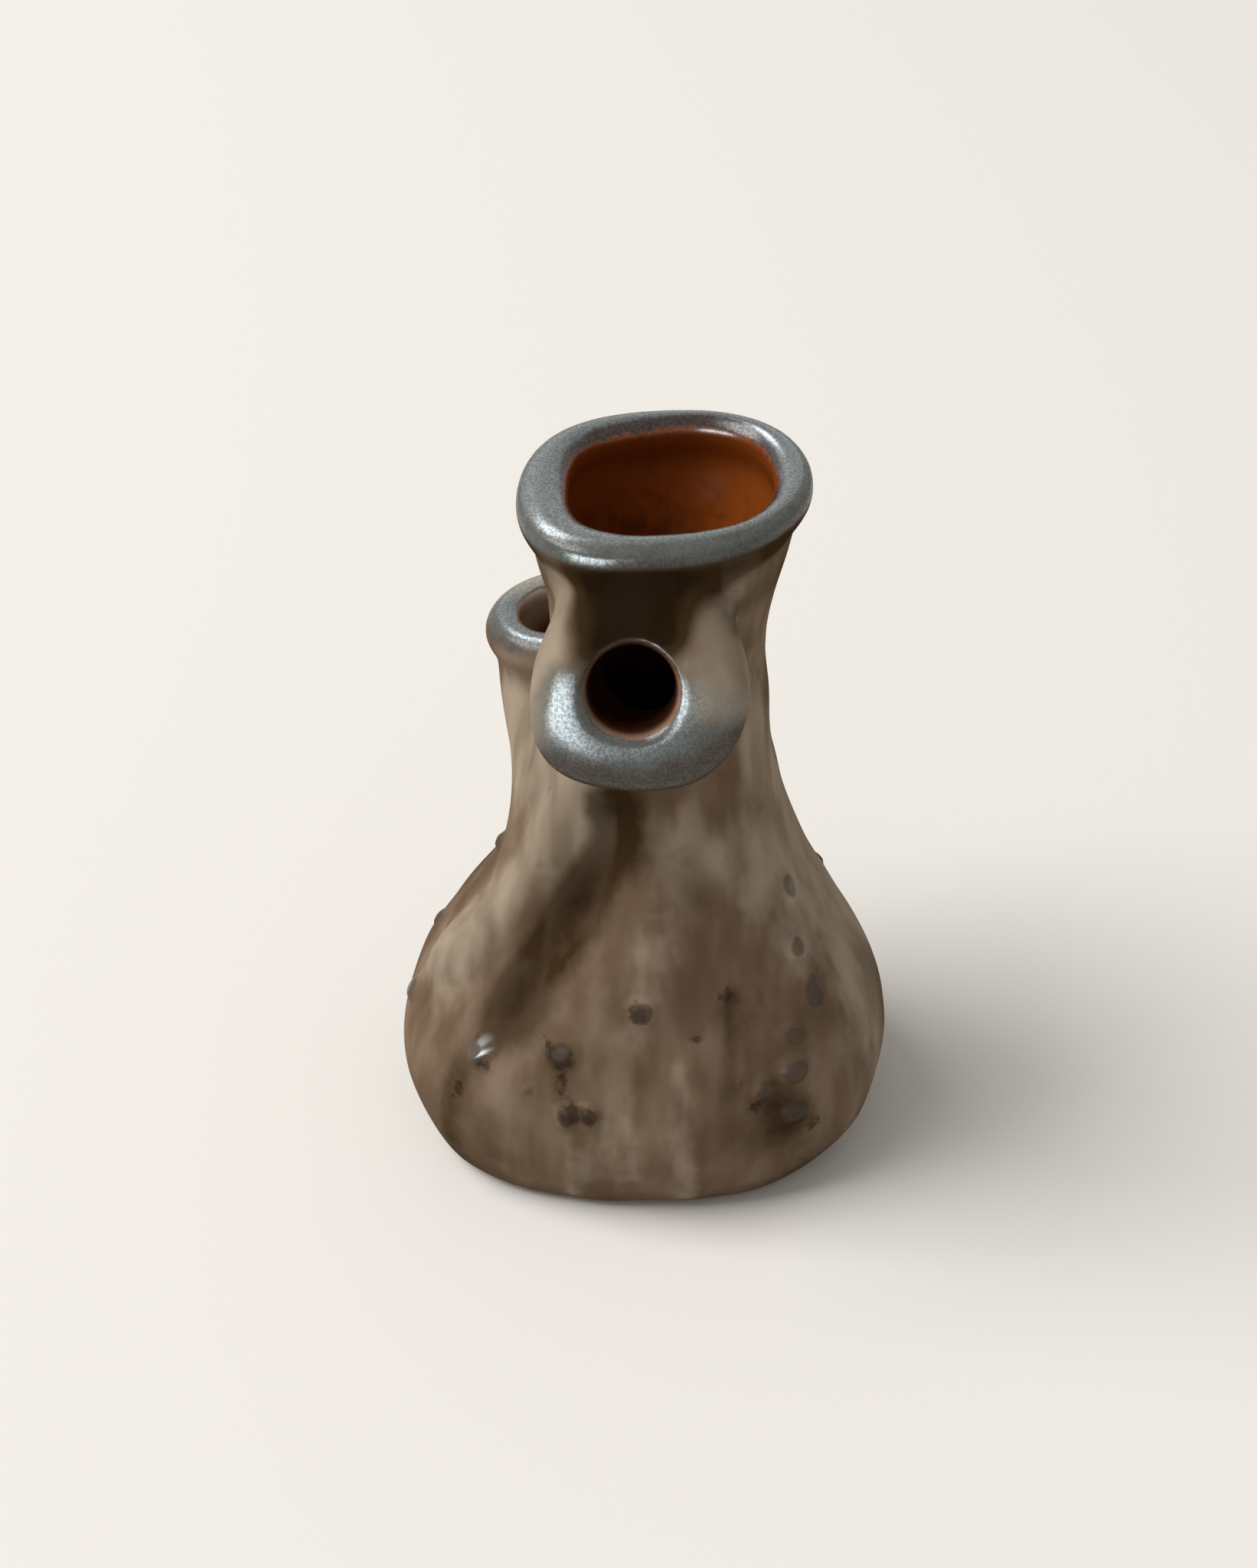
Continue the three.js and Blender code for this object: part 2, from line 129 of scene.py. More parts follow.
# The dent that the potter's hand left on the shoulder.
PRESS_AZIMUTH = -136.0
PRESS_Z = 52.0
PRESS_DEPTH = 1.6
PRESS_SPREAD = 20.0
PRESS_TALL = 11.0

# Waves in the wall that a hand leaves: how many, and the longest and shortest.
WAVES = 12
WAVE_LENGTHS = (44.0, 9.0)
WAVE_SEED = 7

# The two side spouts. The class Spout says what each number is.
FRONT_SPOUT = {
    "azimuth": -99.8, "mouth_reach": 22.2, "height": 100.0,
    "facing_azimuth": -91.0, "facing_pitch": 23.5,
    "root_azimuth": -95.0, "root_reach": 5.0, "drop": 7.0, "root_radius": 9.4, "seat_radius": 11.2,
    "lip_reaches": (16.0, 15.2, 11.2, 12.7, 13.0, 15.8, 14.5, 16.2), "crest": 0.25,
    "thickness": 6.2, "puff": 0.9, "thins": 0.6, "flat_side": 1.0, "opens": 12.0,
    "fillet": 5.0, "lip_fillet": 5.0, "upper_fillet": 4.0,
    "grey_from": -4.5, "grey_up_to": 5.0, "lit_down_to": -4.6,
}
BACK_SPOUT = {
    "azimuth": 127.0, "mouth_reach": 23.9, "height": 82.6,
    "facing_azimuth": 160.0, "facing_pitch": 85.0,
    "root_azimuth": 148.0, "root_reach": 10.5, "drop": 20.0, "root_radius": 12.0,
    "seat_radius": 10.6,
    "lip_reaches": (11.6, 11.5, 11.5, 11.8, 12.2, 12.0, 11.6, 11.6), "crest": 0.5,
    "thickness": 5.2, "puff": 0.2, "thins": 0.0, "flat_side": 0.0, "opens": 4.5,
    "fillet": 7.0, "lip_fillet": 4.0, "upper_fillet": 0.0,
    "grey_from": -1.4, "grey_up_to": 99.0, "lit_down_to": 30.0,
}

# Clay crumbs under the glaze: azimuth, height, length, width and how far each stands proud.
CRUMBS = (
    (-26.0, 53.4, 4.4, 2.8, 1.1),
    (-34.0, 45.2, 3.0, 2.4, 0.9),
    (-35.0, 38.3, 5.2, 3.4, 1.4),
    (-44.5, 32.8, 3.4, 3.0, 0.8),
    (-46.5, 27.3, 4.2, 3.8, 1.3),
    (-54.5, 25.0, 3.0, 3.4, 0.8),
    (-47.0, 19.5, 4.0, 4.4, 1.1),
    (-93.5, 40.3, 3.6, 4.0, 0.7),
    (-142.3, 28.4, 4.2, 4.0, 1.5),
    (-175.1, 25.7, 3.4, 3.0, 1.2),
    (-118.0, 32.7, 3.4, 5.0, 0.8),
    (-113.3, 22.0, 3.8, 2.8, 0.9),
    (-107.0, 22.8, 3.2, 2.6, 0.9),
    (173.0, 51.6, 2.6, 2.4, 1.0),
    (168.7, 32.0, 2.8, 2.4, 0.9),
)

# How glossy the glaze is on the crumbs of the left, of the front and of the rest, each up to an
# azimuth.
CRUMB_GLOSS = ((-130.0, 1.0), (-60.0, 0.03), (180.0, 0.35))

# Dents and soft rises in the wall: azimuth, height, length, width, rise and lean in degrees.
MARKS = (
    (-61.2, 34.5, 16.0, 2.2, -0.45, 4.0),
    (-57.0, 40.3, 3.0, 2.0, -0.5, 0.0),
    (-49.6, 39.5, 2.6, 1.8, -0.5, 0.0),
    (-43.0, 39.6, 5.0, 3.0, -0.5, 10.0),
    (-61.5, 25.8, 2.0, 1.8, -0.7, 0.0),
    (-73.8, 34.7, 1.4, 2.6, -0.5, 0.0),
    (-20.9, 90.6, 1.6, 1.6, -0.6, 0.0),
    (-94.5, 55.2, 0.9, 4.2, -0.35, 0.0),
    (-125.6, 25.4, 1.4, 1.4, 0.5, 0.0),
    (-116.0, 28.0, 5.0, 1.8, -0.4, -6.0),
    (-139.0, 24.6, 4.0, 7.0, -0.6, 20.0),
    (-144.5, 19.0, 10.0, 5.0, -0.35, 10.0),
    (-147.6, 57.4, 1.2, 1.2, -0.4, 0.0),
    (-150.0, 71.4, 5.0, 1.0, -0.3, 0.0),
    (-160.0, 92.5, 1.2, 1.2, -0.5, 0.0),
    (-52.0, 21.5, 5.0, 3.0, -0.6, 30.0),
    (-40.0, 29.8, 4.0, 2.6, -0.5, -20.0),
    (-30.0, 49.8, 3.0, 2.0, -0.35, 0.0),
    (152.0, 59.0, 2.4, 2.2, 0.8, 0.0),
    (60.0, 33.0, 3.0, 3.0, 0.7, 0.0),
    (95.0, 24.0, 4.0, 2.4, 0.8, 15.0),
    (20.0, 42.0, 3.2, 2.4, 0.7, 0.0),
)

# Folds that the potter's fingers drew in the wall: rise, half width and the line that each
# follows, in azimuth and height.
FOLDS = (
    (2.2, 4.3, ((-124, 80), (-134, 75), (-138, 68), (-147, 60), (-156, 51), (-162, 44), (-170, 35))),
    (-3.4, 7.2, ((-98, 75), (-110, 68), (-121, 60), (-133, 51), (-140, 44), (-140, 36))),
    (0.7, 3.0, ((-56, 75), (-64, 69), (-76, 64))),
    (-0.9, 5.0, ((-84, 76), (-84, 66), (-74, 58), (-68, 48))),
    (0.6, 7.0, ((-100, 44), (-98, 30), (-90, 14))),
    (-0.7, 6.0, ((-62, 46), (-60, 34), (-52, 20))),
    (-1.2, 7.0, ((62, 70), (56, 58), (50, 44))),
    (0.9, 7.0, ((84, 66), (88, 50), (96, 34))),
    (0.8, 6.0, ((20, 66), (14, 52), (16, 36))),
    (-0.8, 7.0, ((128, 46), (136, 34), (132, 20))),
    (0.6, 8.0, ((-30, 60), (-34, 44), (-36, 26))),
)

# Broad dark clouds in the glaze, and painted shade: strength, half width and the line that each
# follows.
CLOUDS_AND_PAINTED_SHADE = (
    # Painted shade in the valley below the shoulder ridge.
    (1.0, 5.4, ((-117, 71), (-119, 67), (-127, 59), (-137, 50), (-142, 42), (-142, 34))),
    # Painted shadow that the front lip casts on the shoulder.
    (0.35, 3.0, ((-126, 76), (-122, 71))),
    (0.4, 8.0, ((-120, 50), (-128, 36))),
    # Painted shade in the wedge under the front spout, in this row and the next.
    (0.28, 6.5, ((-112, 71), (-96, 69), (-76, 68))),
    (0.8, 6.5, ((-92, 63), (-74, 63), (-66, 59))),
    (0.4, 5.0, ((-57, 40), (-48, 32), (-50, 18))),
    (0.35, 3.5, ((-54, 24), (-44, 18))),
    (0.4, 2.4, ((-61, 40), (-66, 26))),
    (0.45, 6.0, ((-65, 18), (-42, 9))),
    (0.5, 3.0, ((-117, 30), (-112, 20))),
    (0.7, 5.0, ((-146, 22), (-146, 11))),
    (0.5, 3.5, ((-133, 17), (-132, 11))),
    (0.6, 4.0, ((-24, 24), (-23, 8))),
    (0.5, 4.0, ((-150, 4), (-120, 2), (-90, 3), (-60, 2), (-30, 4))),
    # Painted shade on the neck under the main lip, round the top of the front bore and under the
    # front lip's plate, in this row and the next five.
    (1.4, 4.5, ((-112, 113), (-100, 110), (-97, 112))),
    (0.35, 4.0, ((-92, 113), (-86, 114))),
    (0.7, 2.0, ((-110, 107), (-98, 109), (-92, 108))),
    (0.7, 3.0, ((-66, 112), (-60, 108))),
    (1.0, 2.6, ((-160, 115.5), (-120, 116), (-60, 116), (-20, 115.5))),
    (1.0, 3.8, ((-116, 91), (-110, 89), (-92, 88), (-76, 91), (-66, 95))),
    (0.6, 5.0, ((-170, 108), (170, 106), (140, 108))),
    (0.7, 5.0, ((30, 50), (34, 22))),
    (0.7, 5.0, ((70, 66), (78, 36))),
    (0.7, 7.0, ((110, 34), (112, 16))),
    (0.6, 4.0, ((158, 48), (160, 26))),
    (0.6, 6.0, ((20, 108), (60, 106), (100, 108))),
)

# Thin pale glaze on ridges and in runs, and painted light: strength, half width and line, as for
# the clouds.
RUNS_AND_PAINTED_LIGHT = (
    # Pale thin glaze on the shoulder ridge, with painted light where the window falls on it; the
    # next row paints light on the lit shoulder above it.
    (1.2, 4.5, ((-136, 78), (-144, 69), (-152, 60), (-161, 50), (-167, 44), (-174, 35))),
    (0.9, 7.0, ((-150, 84), (-176, 70), (172, 52))),
    (0.7, 5.0, ((-158, 41), (-164, 32))),
    (0.5, 2.6, ((-97, 26), (-95, 19), (-93, 10))),
    (0.75, 2.6, ((-81, 30), (-79, 14), (-74, 4))),
    (0.6, 2.4, ((-110, 14), (-110, 4))),
    (0.6, 3.5, ((-44, 54), (-30, 60), (-22, 56))),
    (0.5, 4.0, ((-88, 54), (-96, 36))),
    (0.6, 4.0, ((-102, 20), (-102, 10))),
    # Painted light that bounces on to the right side.
    (1.1, 7.0, ((9, 48), (2, 37), (-10, 29))),
    (0.6, 3.0, ((-29, 51), (-36, 42))),
    (0.8, 3.5, ((-33, 95), (-32, 84), (-24, 72))),
    # Painted light in the back spout's bore.
    (1.2, 3.5, ((124, 84), (132, 80))),
    (0.7, 5.0, ((-16, 80), (-12, 50))),
    (0.7, 8.0, ((-18, 44), (-16, 16))),
    # Painted sheen on the front lip's right ear, painted light on the lit left of the neck and on
    # the back spout's stem, in this row and the next two.
    (1.5, 4.5, ((-70, 101), (-67, 109))),
    (1.3, 4.0, ((-134, 113), (-132, 105), (-130, 96))),
    (1.5, 5.5, ((160, 71), (162, 66), (-178, 60))),
    (0.7, 4.0, ((-150, 96), (-140, 88))),
    (0.7, 3.5, ((4, 56), (6, 26))),
    (0.7, 3.0, ((52, 44), (50, 14))),
    (0.8, 4.0, ((90, 78), (96, 44))),
    (0.7, 3.5, ((136, 42), (134, 18))),
    (0.6, 6.0, ((96, 98), (104, 86))),
)

# Small dark spots and runs with a ragged edge: azimuth, height, length, width, strength and lean in
# degrees.
SPOTS = (
    (-94.8, 40.3, 5.4, 6.0, 1.0, 30.0),
    (-94.2, 55.3, 1.2, 4.6, 0.9, 0.0),
    (-117.0, 32.2, 4.2, 5.6, 1.0, 0.0),
    (-116.0, 27.8, 7.0, 2.4, 0.9, -6.0),
    (-122.5, 33.6, 1.6, 4.0, 0.7, 20.0),
    (-112.5, 22.6, 6.0, 4.0, 1.0, 10.0),
    (-107.5, 22.6, 5.0, 4.0, 1.0, -10.0),
    (-62.0, 40.8, 3.2, 4.0, 0.9, 0.0),
    (-63.0, 33.0, 15.0, 2.0, 0.4, 4.0),
    (-74.0, 34.6, 1.8, 3.4, 0.8, 0.0),
    (-140.0, 26.5, 3.0, 6.0, 1.0, 24.0),
    (-145.0, 20.0, 6.0, 3.0, 1.0, 10.0),
    (-61.5, 25.8, 2.4, 2.2, 0.9, 0.0),
    (-41.5, 15.3, 3.5, 4.0, 1.0, 0.0),
    (-57.5, 22.0, 3.5, 3.5, 1.0, 0.0),
    (-34.0, 37.0, 4.0, 4.6, 0.8, 0.0),
    (-25.0, 10.0, 3.0, 3.0, 0.7, 0.0),
    (-69.0, 66.0, 1.0, 1.2, 0.7, 0.0),
    (-147.6, 57.4, 1.6, 1.6, 0.8, 0.0),
    (-150.0, 71.4, 5.0, 1.2, 0.8, 0.0),
    (-21.0, 90.6, 2.2, 1.6, 0.9, 0.0),
    (-160.0, 92.5, 1.6, 1.6, 0.8, 0.0),
    (60.0, 33.0, 5.0, 4.0, 0.9, 0.0),
    (95.0, 24.0, 6.0, 4.0, 0.9, 15.0),
    (20.0, 42.0, 5.0, 4.0, 0.9, 0.0),
    (150.0, 24.0, 8.0, 6.0, 0.8, 0.0),
)


def smoothstep(low, high, value):
    """0 below low, 1 above high and a smooth rise between them."""
    t = np.clip((value - low) / (high - low), 0.0, 1.0)
    return t * t * (3.0 - 2.0 * t)


def fade(low, high, value):
    """1 below low, 0 above high and a smooth fall between them."""
    return 1.0 - smoothstep(low, high, value)


def turned_from(azimuth, angle):
    """How far angles are turned from an azimuth in degrees, from -pi to pi."""
    return (angle - math.radians(azimuth) + math.pi) % (2 * math.pi) - math.pi


def join_soft(a, b, reach):
    """The union of two distance fields, with a fillet of about this reach."""
    h = np.clip(0.5 + 0.5 * (b - a) / reach, 0.0, 1.0)
    return b + (a - b) * h - reach * h * (1.0 - h)


def keep_soft(a, b, reach):
    """What two distance fields share, with its edge rounded over about this reach."""
    return -join_soft(-a, -b, reach)


def through(places, values, at):
    """Values at points along a smooth curve through given places, held level outside them."""
    places = np.asarray(places, float)
    values = np.asarray(values, float)
    gaps = np.diff(places)
    slopes = np.diff(values) / gaps
    middle = (slopes[:-1] * gaps[1:] + slopes[1:] * gaps[:-1]) / (gaps[1:] + gaps[:-1])
    tangents = np.concatenate([slopes[:1], middle, slopes[-1:]])
    at = np.clip(at, places[0], places[-1])
    i = np.clip(np.searchsorted(places, at, side="right") - 1, 0, len(gaps) - 1)
    t = (at - places[i]) / gaps[i]
    rise = values[i + 1] - values[i]
    start = tangents[i] * gaps[i]
    end = tangents[i + 1] * gaps[i]
    return values[i] + t * (start + t * (3 * rise - 2 * start - end + t * (start + end - 2 * rise)))


def softened(values, spread):
    """A table with each value averaged over its neighbours, by a bell curve of this spread."""
    steps = np.arange(-3 * spread, 3 * spread + 1)
    weights = np.exp(-0.5 * (steps / spread) ** 2)
    padded = np.pad(values, 3 * spread, mode="edge")
    return np.convolve(padded, weights / weights.sum(), mode="valid")


class Around:
    """A reach that changes smoothly round a full turn, through evenly spaced values."""

    STEPS = 1440
    SPREAD = 16

    def __init__(self, reaches):
        count = len(reaches)
        places = np.arange(-count, 2 * count + 1) * (2 * math.pi / count)
        values = [reaches[i % count] for i in range(-count, 2 * count + 1)]
        self.turn = np.linspace(-math.pi, math.pi, self.STEPS + 1)
        three_turns = np.concatenate([self.turn - 2 * math.pi, self.turn[1:],
                                      self.turn[1:] + 2 * math.pi])
        table = softened(through(places, values, three_turns), self.SPREAD)
        self.table = table[self.STEPS:2 * self.STEPS + 1]

    def at(self, angle):
        """The reach at angles from -pi to pi."""
        return np.interp(angle, self.turn, self.table)


def direction(azimuth, pitch=0.0):
    """The unit vector at an azimuth and pitch in degrees."""
    a = math.radians(azimuth)
    p = math.radians(pitch)
    return np.array([math.cos(p) * math.cos(a), math.cos(p) * math.sin(a), math.sin(p)])


@dataclass
class Spout:
    """A side spout: a stem that bends out of the neck, its bore and its cushion lip.

    Lengths are in millimetres and angles in degrees.
    """

    # The mouth's middle, seen from the neck's axis, and the way that it faces.
    azimuth: float
    mouth_reach: float
    height: float
    facing_azimuth: float
    facing_pitch: float
    # The stem: where it starts, how far below its seat, and its radius at both ends.
    root_azimuth: float
    root_reach: float
    drop: float
    root_radius: float
    seat_radius: float
    # The bore's radius, and how far past the seat it is cut.
    bore: float
    opens: float
    # The lip's outer edge every 45 degrees from the right, and how far out its crest lies, from 0
    # at the bore to 1 at the edge.
    lip_reaches: tuple
    crest: float
    thickness: float
    # Fillets from stem to neck and from lip to stem, and what the lip's gains towards the neck.
    fillet: float
    lip_fillet: float
    upper_fillet: float
    # How far the lip swells, what share of that it loses towards the neck, and how much squarer its
    # section is on the right.
    puff: float
    thins: float
    flat_side: float
    # The lip's glaze: its lowest level, how far up it reaches and how deep light shows the bore.
    grey_from: float
    grey_up_to: float
    lit_down_to: float

    BENDS = 14
    EDGE_SPARE = 0.35
    STEM_OVER_SEAT = 0.4
    # The power that narrows the side towards the neck, and what share of the lip's half sinks there.
    NECK_SIDE = 14
    SINKS = 0.6
    FLAT_SIDE_ANGLE = 0.3
    # How many fillets wide the room is in which the spout shapes the surface.
    ROOM = 3.0

    def __post_init__(self):
        axis = np.array([NECK_SHIFT, 0.0, 0.0])
        outward = direction(self.azimuth)
        self.mouth = axis + outward * self.mouth_reach + np.array([0.0, 0.0, self.height])
        self.facing = direction(self.facing_azimuth, self.facing_pitch)
        self.up = np.cross(self.facing, np.cross([0.0, 0.0, 1.0], outward))
        self.up /= np.linalg.norm(self.up)
        self.side = np.cross(self.up, self.facing)
        self.half = self.thickness / 2
        self.top = self.half + self.puff
        self.seat = self.mouth - self.facing * self.half
        root = axis + direction(self.root_azimuth) * self.root_reach
        root[2] = self.seat[2] - self.drop
        bend = self.seat - self.facing * self.drop / 2
        t = np.linspace(0.0, 1.0, self.BENDS + 1)[:, None]
        self.path = (1 - t) ** 2 * root + 2 * t * (1 - t) * bend + t * t * self.seat
        self.radii = self.root_radius + (self.seat_radius - self.root_radius) * t[:, 0] ** 2
        self.edge = Around(self.lip_reaches)
        room = max(*self.lip_reaches, self.root_radius) + self.ROOM * self.fillet
        corners = np.vstack([self.path, self.mouth])
        self.low = corners.min(0) - room
        self.high = corners.max(0) + room

    def near(self, p):
        """Which points are close enough for the spout to shape the surface there."""
        return ((p > self.low) & (p < self.high)).all(1)

    def along(self, p, beyond=0.0):
        """The distance from each point to the stem's centre line and the stem's radius there."""
        path = self.path
        if beyond:
            path = np.vstack([path, self.seat + self.facing * beyond])
        radii = np.append(self.radii, self.radii[-1])
        best = np.full(len(p), 1e9)
        radius = np.zeros(len(p))
        for i in range(len(path) - 1):
            leg = path[i + 1] - path[i]
            away = p - path[i]
            t = np.clip(away @ leg / (leg @ leg), 0.0, 1.0)
            gap = away - t[:, None] * leg
            distance = np.sqrt(np.einsum("ij,ij->i", gap, gap))
            closer = distance < best
            best[closer] = distance[closer]
            radius[closer] = (radii[i] + (radii[i + 1] - radii[i]) * t)[closer]
        return best, radius

    def local(self, p):
        """Height over the lip's middle plane, distance from the bore's axis and angle round it."""
        away = p - self.mouth
        across = away @ self.side
        rise = away @ self.up
        return away @ self.facing, np.hypot(across, rise), np.arctan2(rise, across)

    def lip(self, p):
        """The distance field of the cushion lip and the reach of its fillet to the clay around.

        The lip thins out towards the neck, and the fillet grows.
        """
        height, out, angle = self.local(p)
        reach = self.edge.at(angle)
        crest = self.bore + (reach - self.bore) * self.crest
        inner = crest - self.bore + self.EDGE_SPARE
        outer = reach - crest + self.EDGE_SPARE
        above = np.cos((angle - math.pi / 2) / 2) ** self.NECK_SIDE
        tall = self.top * (1.0 - self.thins * above)
        right = np.clip(np.cos(angle - self.FLAT_SIDE_ANGLE), 0.0, 1.0)
        section = 2.0 + self.flat_side * right ** 2
        a = np.abs(out - crest) / np.where(out < crest, inner, outer)
        b = np.abs(height + self.thins * above * self.half * self.SINKS) / tall
        size = (a ** section + b ** section) ** (1.0 / section)
        return (size - 1.0) * np.minimum(inner, tall), self.lip_fillet + self.upper_fillet * above


class Pot:
    """The vase's clay as one distance field, in millimetres, negative inside the clay."""

    PROFILE_FROM = -12.0
    PROFILE_TO = 132.0
    PROFILE_STEP = 0.1
    PROFILE_SPREAD = 20
    WAVE_POWER = 1.1
    MARK_REACH = 1.1
    MARK_SHARPNESS = 1.4
    CRUMB_DOME = (0.35, 1.75)
    SETTLING_STEPS = 3
    LONGEST_STEP = 0.6

    def __init__(self, sizes):
        self.belly_wall = sizes.belly_wall / MM
        self.neck_wall = sizes.neck_wall / MM
        self.coil_half_height = sizes.lip_height / MM / 2
        self.front = Spout(bore=sizes.front_bore / MM, **FRONT_SPOUT)
        self.back = Spout(bore=sizes.back_bore / MM, **BACK_SPOUT)
        self.coil_reach = Around(LIP_REACHES)
        self.inner_reach = Around(LIP_INNER_REACHES)
        self.z = np.arange(self.PROFILE_FROM, self.PROFILE_TO, self.PROFILE_STEP)
        levels, *columns = zip(*LEVELS)
        self.profile = [softened(through(levels, c, self.z), self.PROFILE_SPREAD) for c in columns]
        self.lean = np.gradient((self.profile[0] + self.profile[1]) / 2, self.PROFILE_STEP)
        rng = np.random.default_rng(WAVE_SEED)
        ways = rng.normal(size=(WAVES, 3))
        ways /= np.linalg.norm(ways, axis=1)[:, None]
        lengths = np.geomspace(*WAVE_LENGTHS, WAVES)
        self.waves = ways * (2 * math.pi / lengths)[:, None]
        self.phases = rng.uniform(0, 2 * math.pi, WAVES)
        self.heights = sizes.unevenness / MM * (lengths / lengths[0]) ** self.WAVE_POWER

    def outline(self, z, angle):
        """The outer radius of the smooth wall at a height and an angle."""
        wide, deep, square = (np.interp(z, self.z, self.profile[i]) for i in (0, 1, 3))
        reach = (np.abs(np.cos(angle) / wide) ** square
                 + np.abs(np.sin(angle) / deep) ** square) ** (-1.0 / square)
        turn = np.degrees(turned_from(PRESS_AZIMUTH, angle))
        return reach - PRESS_DEPTH * np.exp(-(turn / PRESS_SPREAD) ** 2
                                            - ((z - PRESS_Z) / PRESS_TALL) ** 2)

    def coil_section(self, angle):
        """The reach of the lip coil's middle and its half width, at an angle."""
        outer = self.coil_reach.at(angle) + (LIP_COIL_WIDTH - LIP_WIDER_ON_LEFT * np.cos(angle)) / 2
        inner = self.inner_reach.at(angle)
        return (outer + inner) / 2, (outer - inner) / 2

    def polar(self, p):
        """Distance from the wall's own centre, the angle there, and how far it is the rim's.

        The last is 0 on the neck and 1 at the lip's seat.
        """
        share = smoothstep(FLARE_Z, LIP_SEAT_Z, p[:, 2])
        shift = np.interp(p[:, 2], self.z, self.profile[2])
        shift = shift + (RIM_SHIFT - shift) * share
        x = p[:, 0] - shift
        return np.hypot(x, p[:, 1]), np.arctan2(p[:, 1], x), share

    def relief(self, z, angle, radius, rows):
        """The rise over the smooth wall that soft-edged marks in these rows give it."""
        rise = np.zeros(len(z))
        for azimuth, height, length, width, amount, lean in rows:
            close = np.flatnonzero(np.abs(z - height) < self.MARK_REACH * (length + width))
            across = turned_from(azimuth, angle[close]) * radius[close]
            rise_there = z[close] - height
            c, s = math.cos(math.radians(lean)), math.sin(math.radians(lean))
            up = rise_there * c + across * s
            aside = across * c - rise_there * s
            size = (2 * up / length) ** 2 + (2 * aside / width) ** 2
            rise[close] += amount * np.exp(-self.MARK_SHARPNESS * size)
        return rise

    def along_lines(self, z, angle, radius, rows):
        """The rise, or the strength, of soft bands that follow lines on the wall."""
        rise = np.zeros(len(z))
        for amount, half_width, line in rows:
            line = np.array(line, float)
            close = np.flatnonzero((z > line[:, 1].min() - 2 * half_width)
                                   & (z < line[:, 1].max() + 2 * half_width))
            span = radius[close]
            up = z[close]
            gap = np.full(len(close), 1e9)
            for (turn_a, z_a), (turn_b, z_b) in zip(line, line[1:]):
                aside = turned_from(turn_a, angle[close]) * span
                leg_aside = math.radians(turn_b - turn_a) * span
                leg_up = z_b - z_a
                t = (aside * leg_aside + (up - z_a) * leg_up) / (leg_aside ** 2 + leg_up ** 2)
                t = np.clip(t, 0.0, 1.0)
                gap = np.minimum(gap, (aside - t * leg_aside) ** 2 + (up - z_a - t * leg_up) ** 2)
            rise[close] += amount * np.exp(-gap / half_width ** 2)
        return rise

    def crumbs(self, z, angle, radius):
        """The rise of the crumbs: each a dome with a short skirt."""
        rise = np.zeros(len(z))
        for azimuth, height, length, width, proud in CRUMBS:
            close = np.flatnonzero(np.abs(z - height) < length)
            size = crumb_size(z[close], angle[close], radius[close], azimuth, height, length, width)
            dome = proud * fade(*self.CRUMB_DOME, size)
            rise[close] = np.maximum(rise[close], dome)
        return rise

    def wall(self, p):
        """The fields of the wall's outer and inner face, the angle and the outer face's radius."""
        z = p[:, 2]
        out, angle, share = self.polar(p)
        reach = self.outline(z, angle)
        rim, half = self.coil_section(angle)
        seat = LIP_SEAT_SHARE * half
        outer = reach + (rim + seat - LIP_OVERHANG - reach) * share
        outer = outer + self.along_lines(z, angle, reach, FOLDS)
        to_neck = smoothstep(WALL_THINS_FROM_Z, WALL_THINS_TO_Z, z)
        wall = self.belly_wall + (self.neck_wall - self.belly_wall) * to_neck
        wall = wall + (2 * seat - LIP_OVERHANG - wall) * share
        slope = 1.0 / np.sqrt(1.0 + np.interp(z, self.z, self.lean) ** 2)
        return (out - outer) * slope, (out - outer + wall) * slope, angle, outer

    def unevenness(self, p):
        """The height of the hand-made waves at each point."""
        total = np.zeros(len(p))
        for wave, phase, height in zip(self.waves, self.phases, self.heights):
            total += height * np.sin(p @ wave + phase)
        return total

    def distance(self, p):
        """Signed distance to the clay's surface, close to exact near it."""
        z = p[:, 2]
        outer, hollow, angle, radius = self.wall(p)
        solid = outer - self.relief(z, angle, radius, MARKS)
        solid = solid - self.crumbs(z, angle, radius)
        solid = solid + self.unevenness(p)
        solid = keep_soft(solid, -z, HEEL_ROUNDING)
        solid = keep_soft(solid, z - LIP_CENTRE_Z, RIM_ROUNDING)
        hollow = keep_soft(hollow, FLOOR_TOP_Z - z, FLOOR_FILLET)
        for spout in (self.back, self.front):
            near = spout.near(p)
            q = p[near]
            away, radius_there = spout.along(q)
            over_seat = (q - spout.seat) @ spout.facing - spout.STEM_OVER_SEAT
            stem = keep_soft(away - radius_there, over_seat, STEM_ROUNDING)
            shaped = join_soft(solid[near], stem, spout.fillet)
            solid[near] = join_soft(shaped, *spout.lip(q))
            away, _ = spout.along(q, beyond=spout.opens)
            hollow[near] = join_soft(hollow[near], away - spout.bore, BORE_FILLET)
        solid = keep_soft(solid, -hollow, MOUTH_ROUNDING)
        return join_soft(solid, self.coil(p), COIL_FILLET)

    def coil(self, p):
        """The rolled coil of the main lip."""
        x = p[:, 0] - RIM_SHIFT
        out = np.hypot(x, p[:, 1])
        angle = np.arctan2(p[:, 1], x)
        middle, half = self.coil_section(angle)
        a = (out - middle) / half
        b = (p[:, 2] - LIP_CENTRE_Z) / self.coil_half_height
        size = np.sqrt(a * a + b * b)
        return (size - 1.0) * np.minimum(half, self.coil_half_height)

    def slope(self, p, here, step=0.05):
        """The field's gradient at each point, from the distance there and a step along each axis."""
        ahead = [self.distance(p + np.eye(3)[axis] * step) for axis in range(3)]
        return (np.stack(ahead, axis=1) - here[:, None]) / step

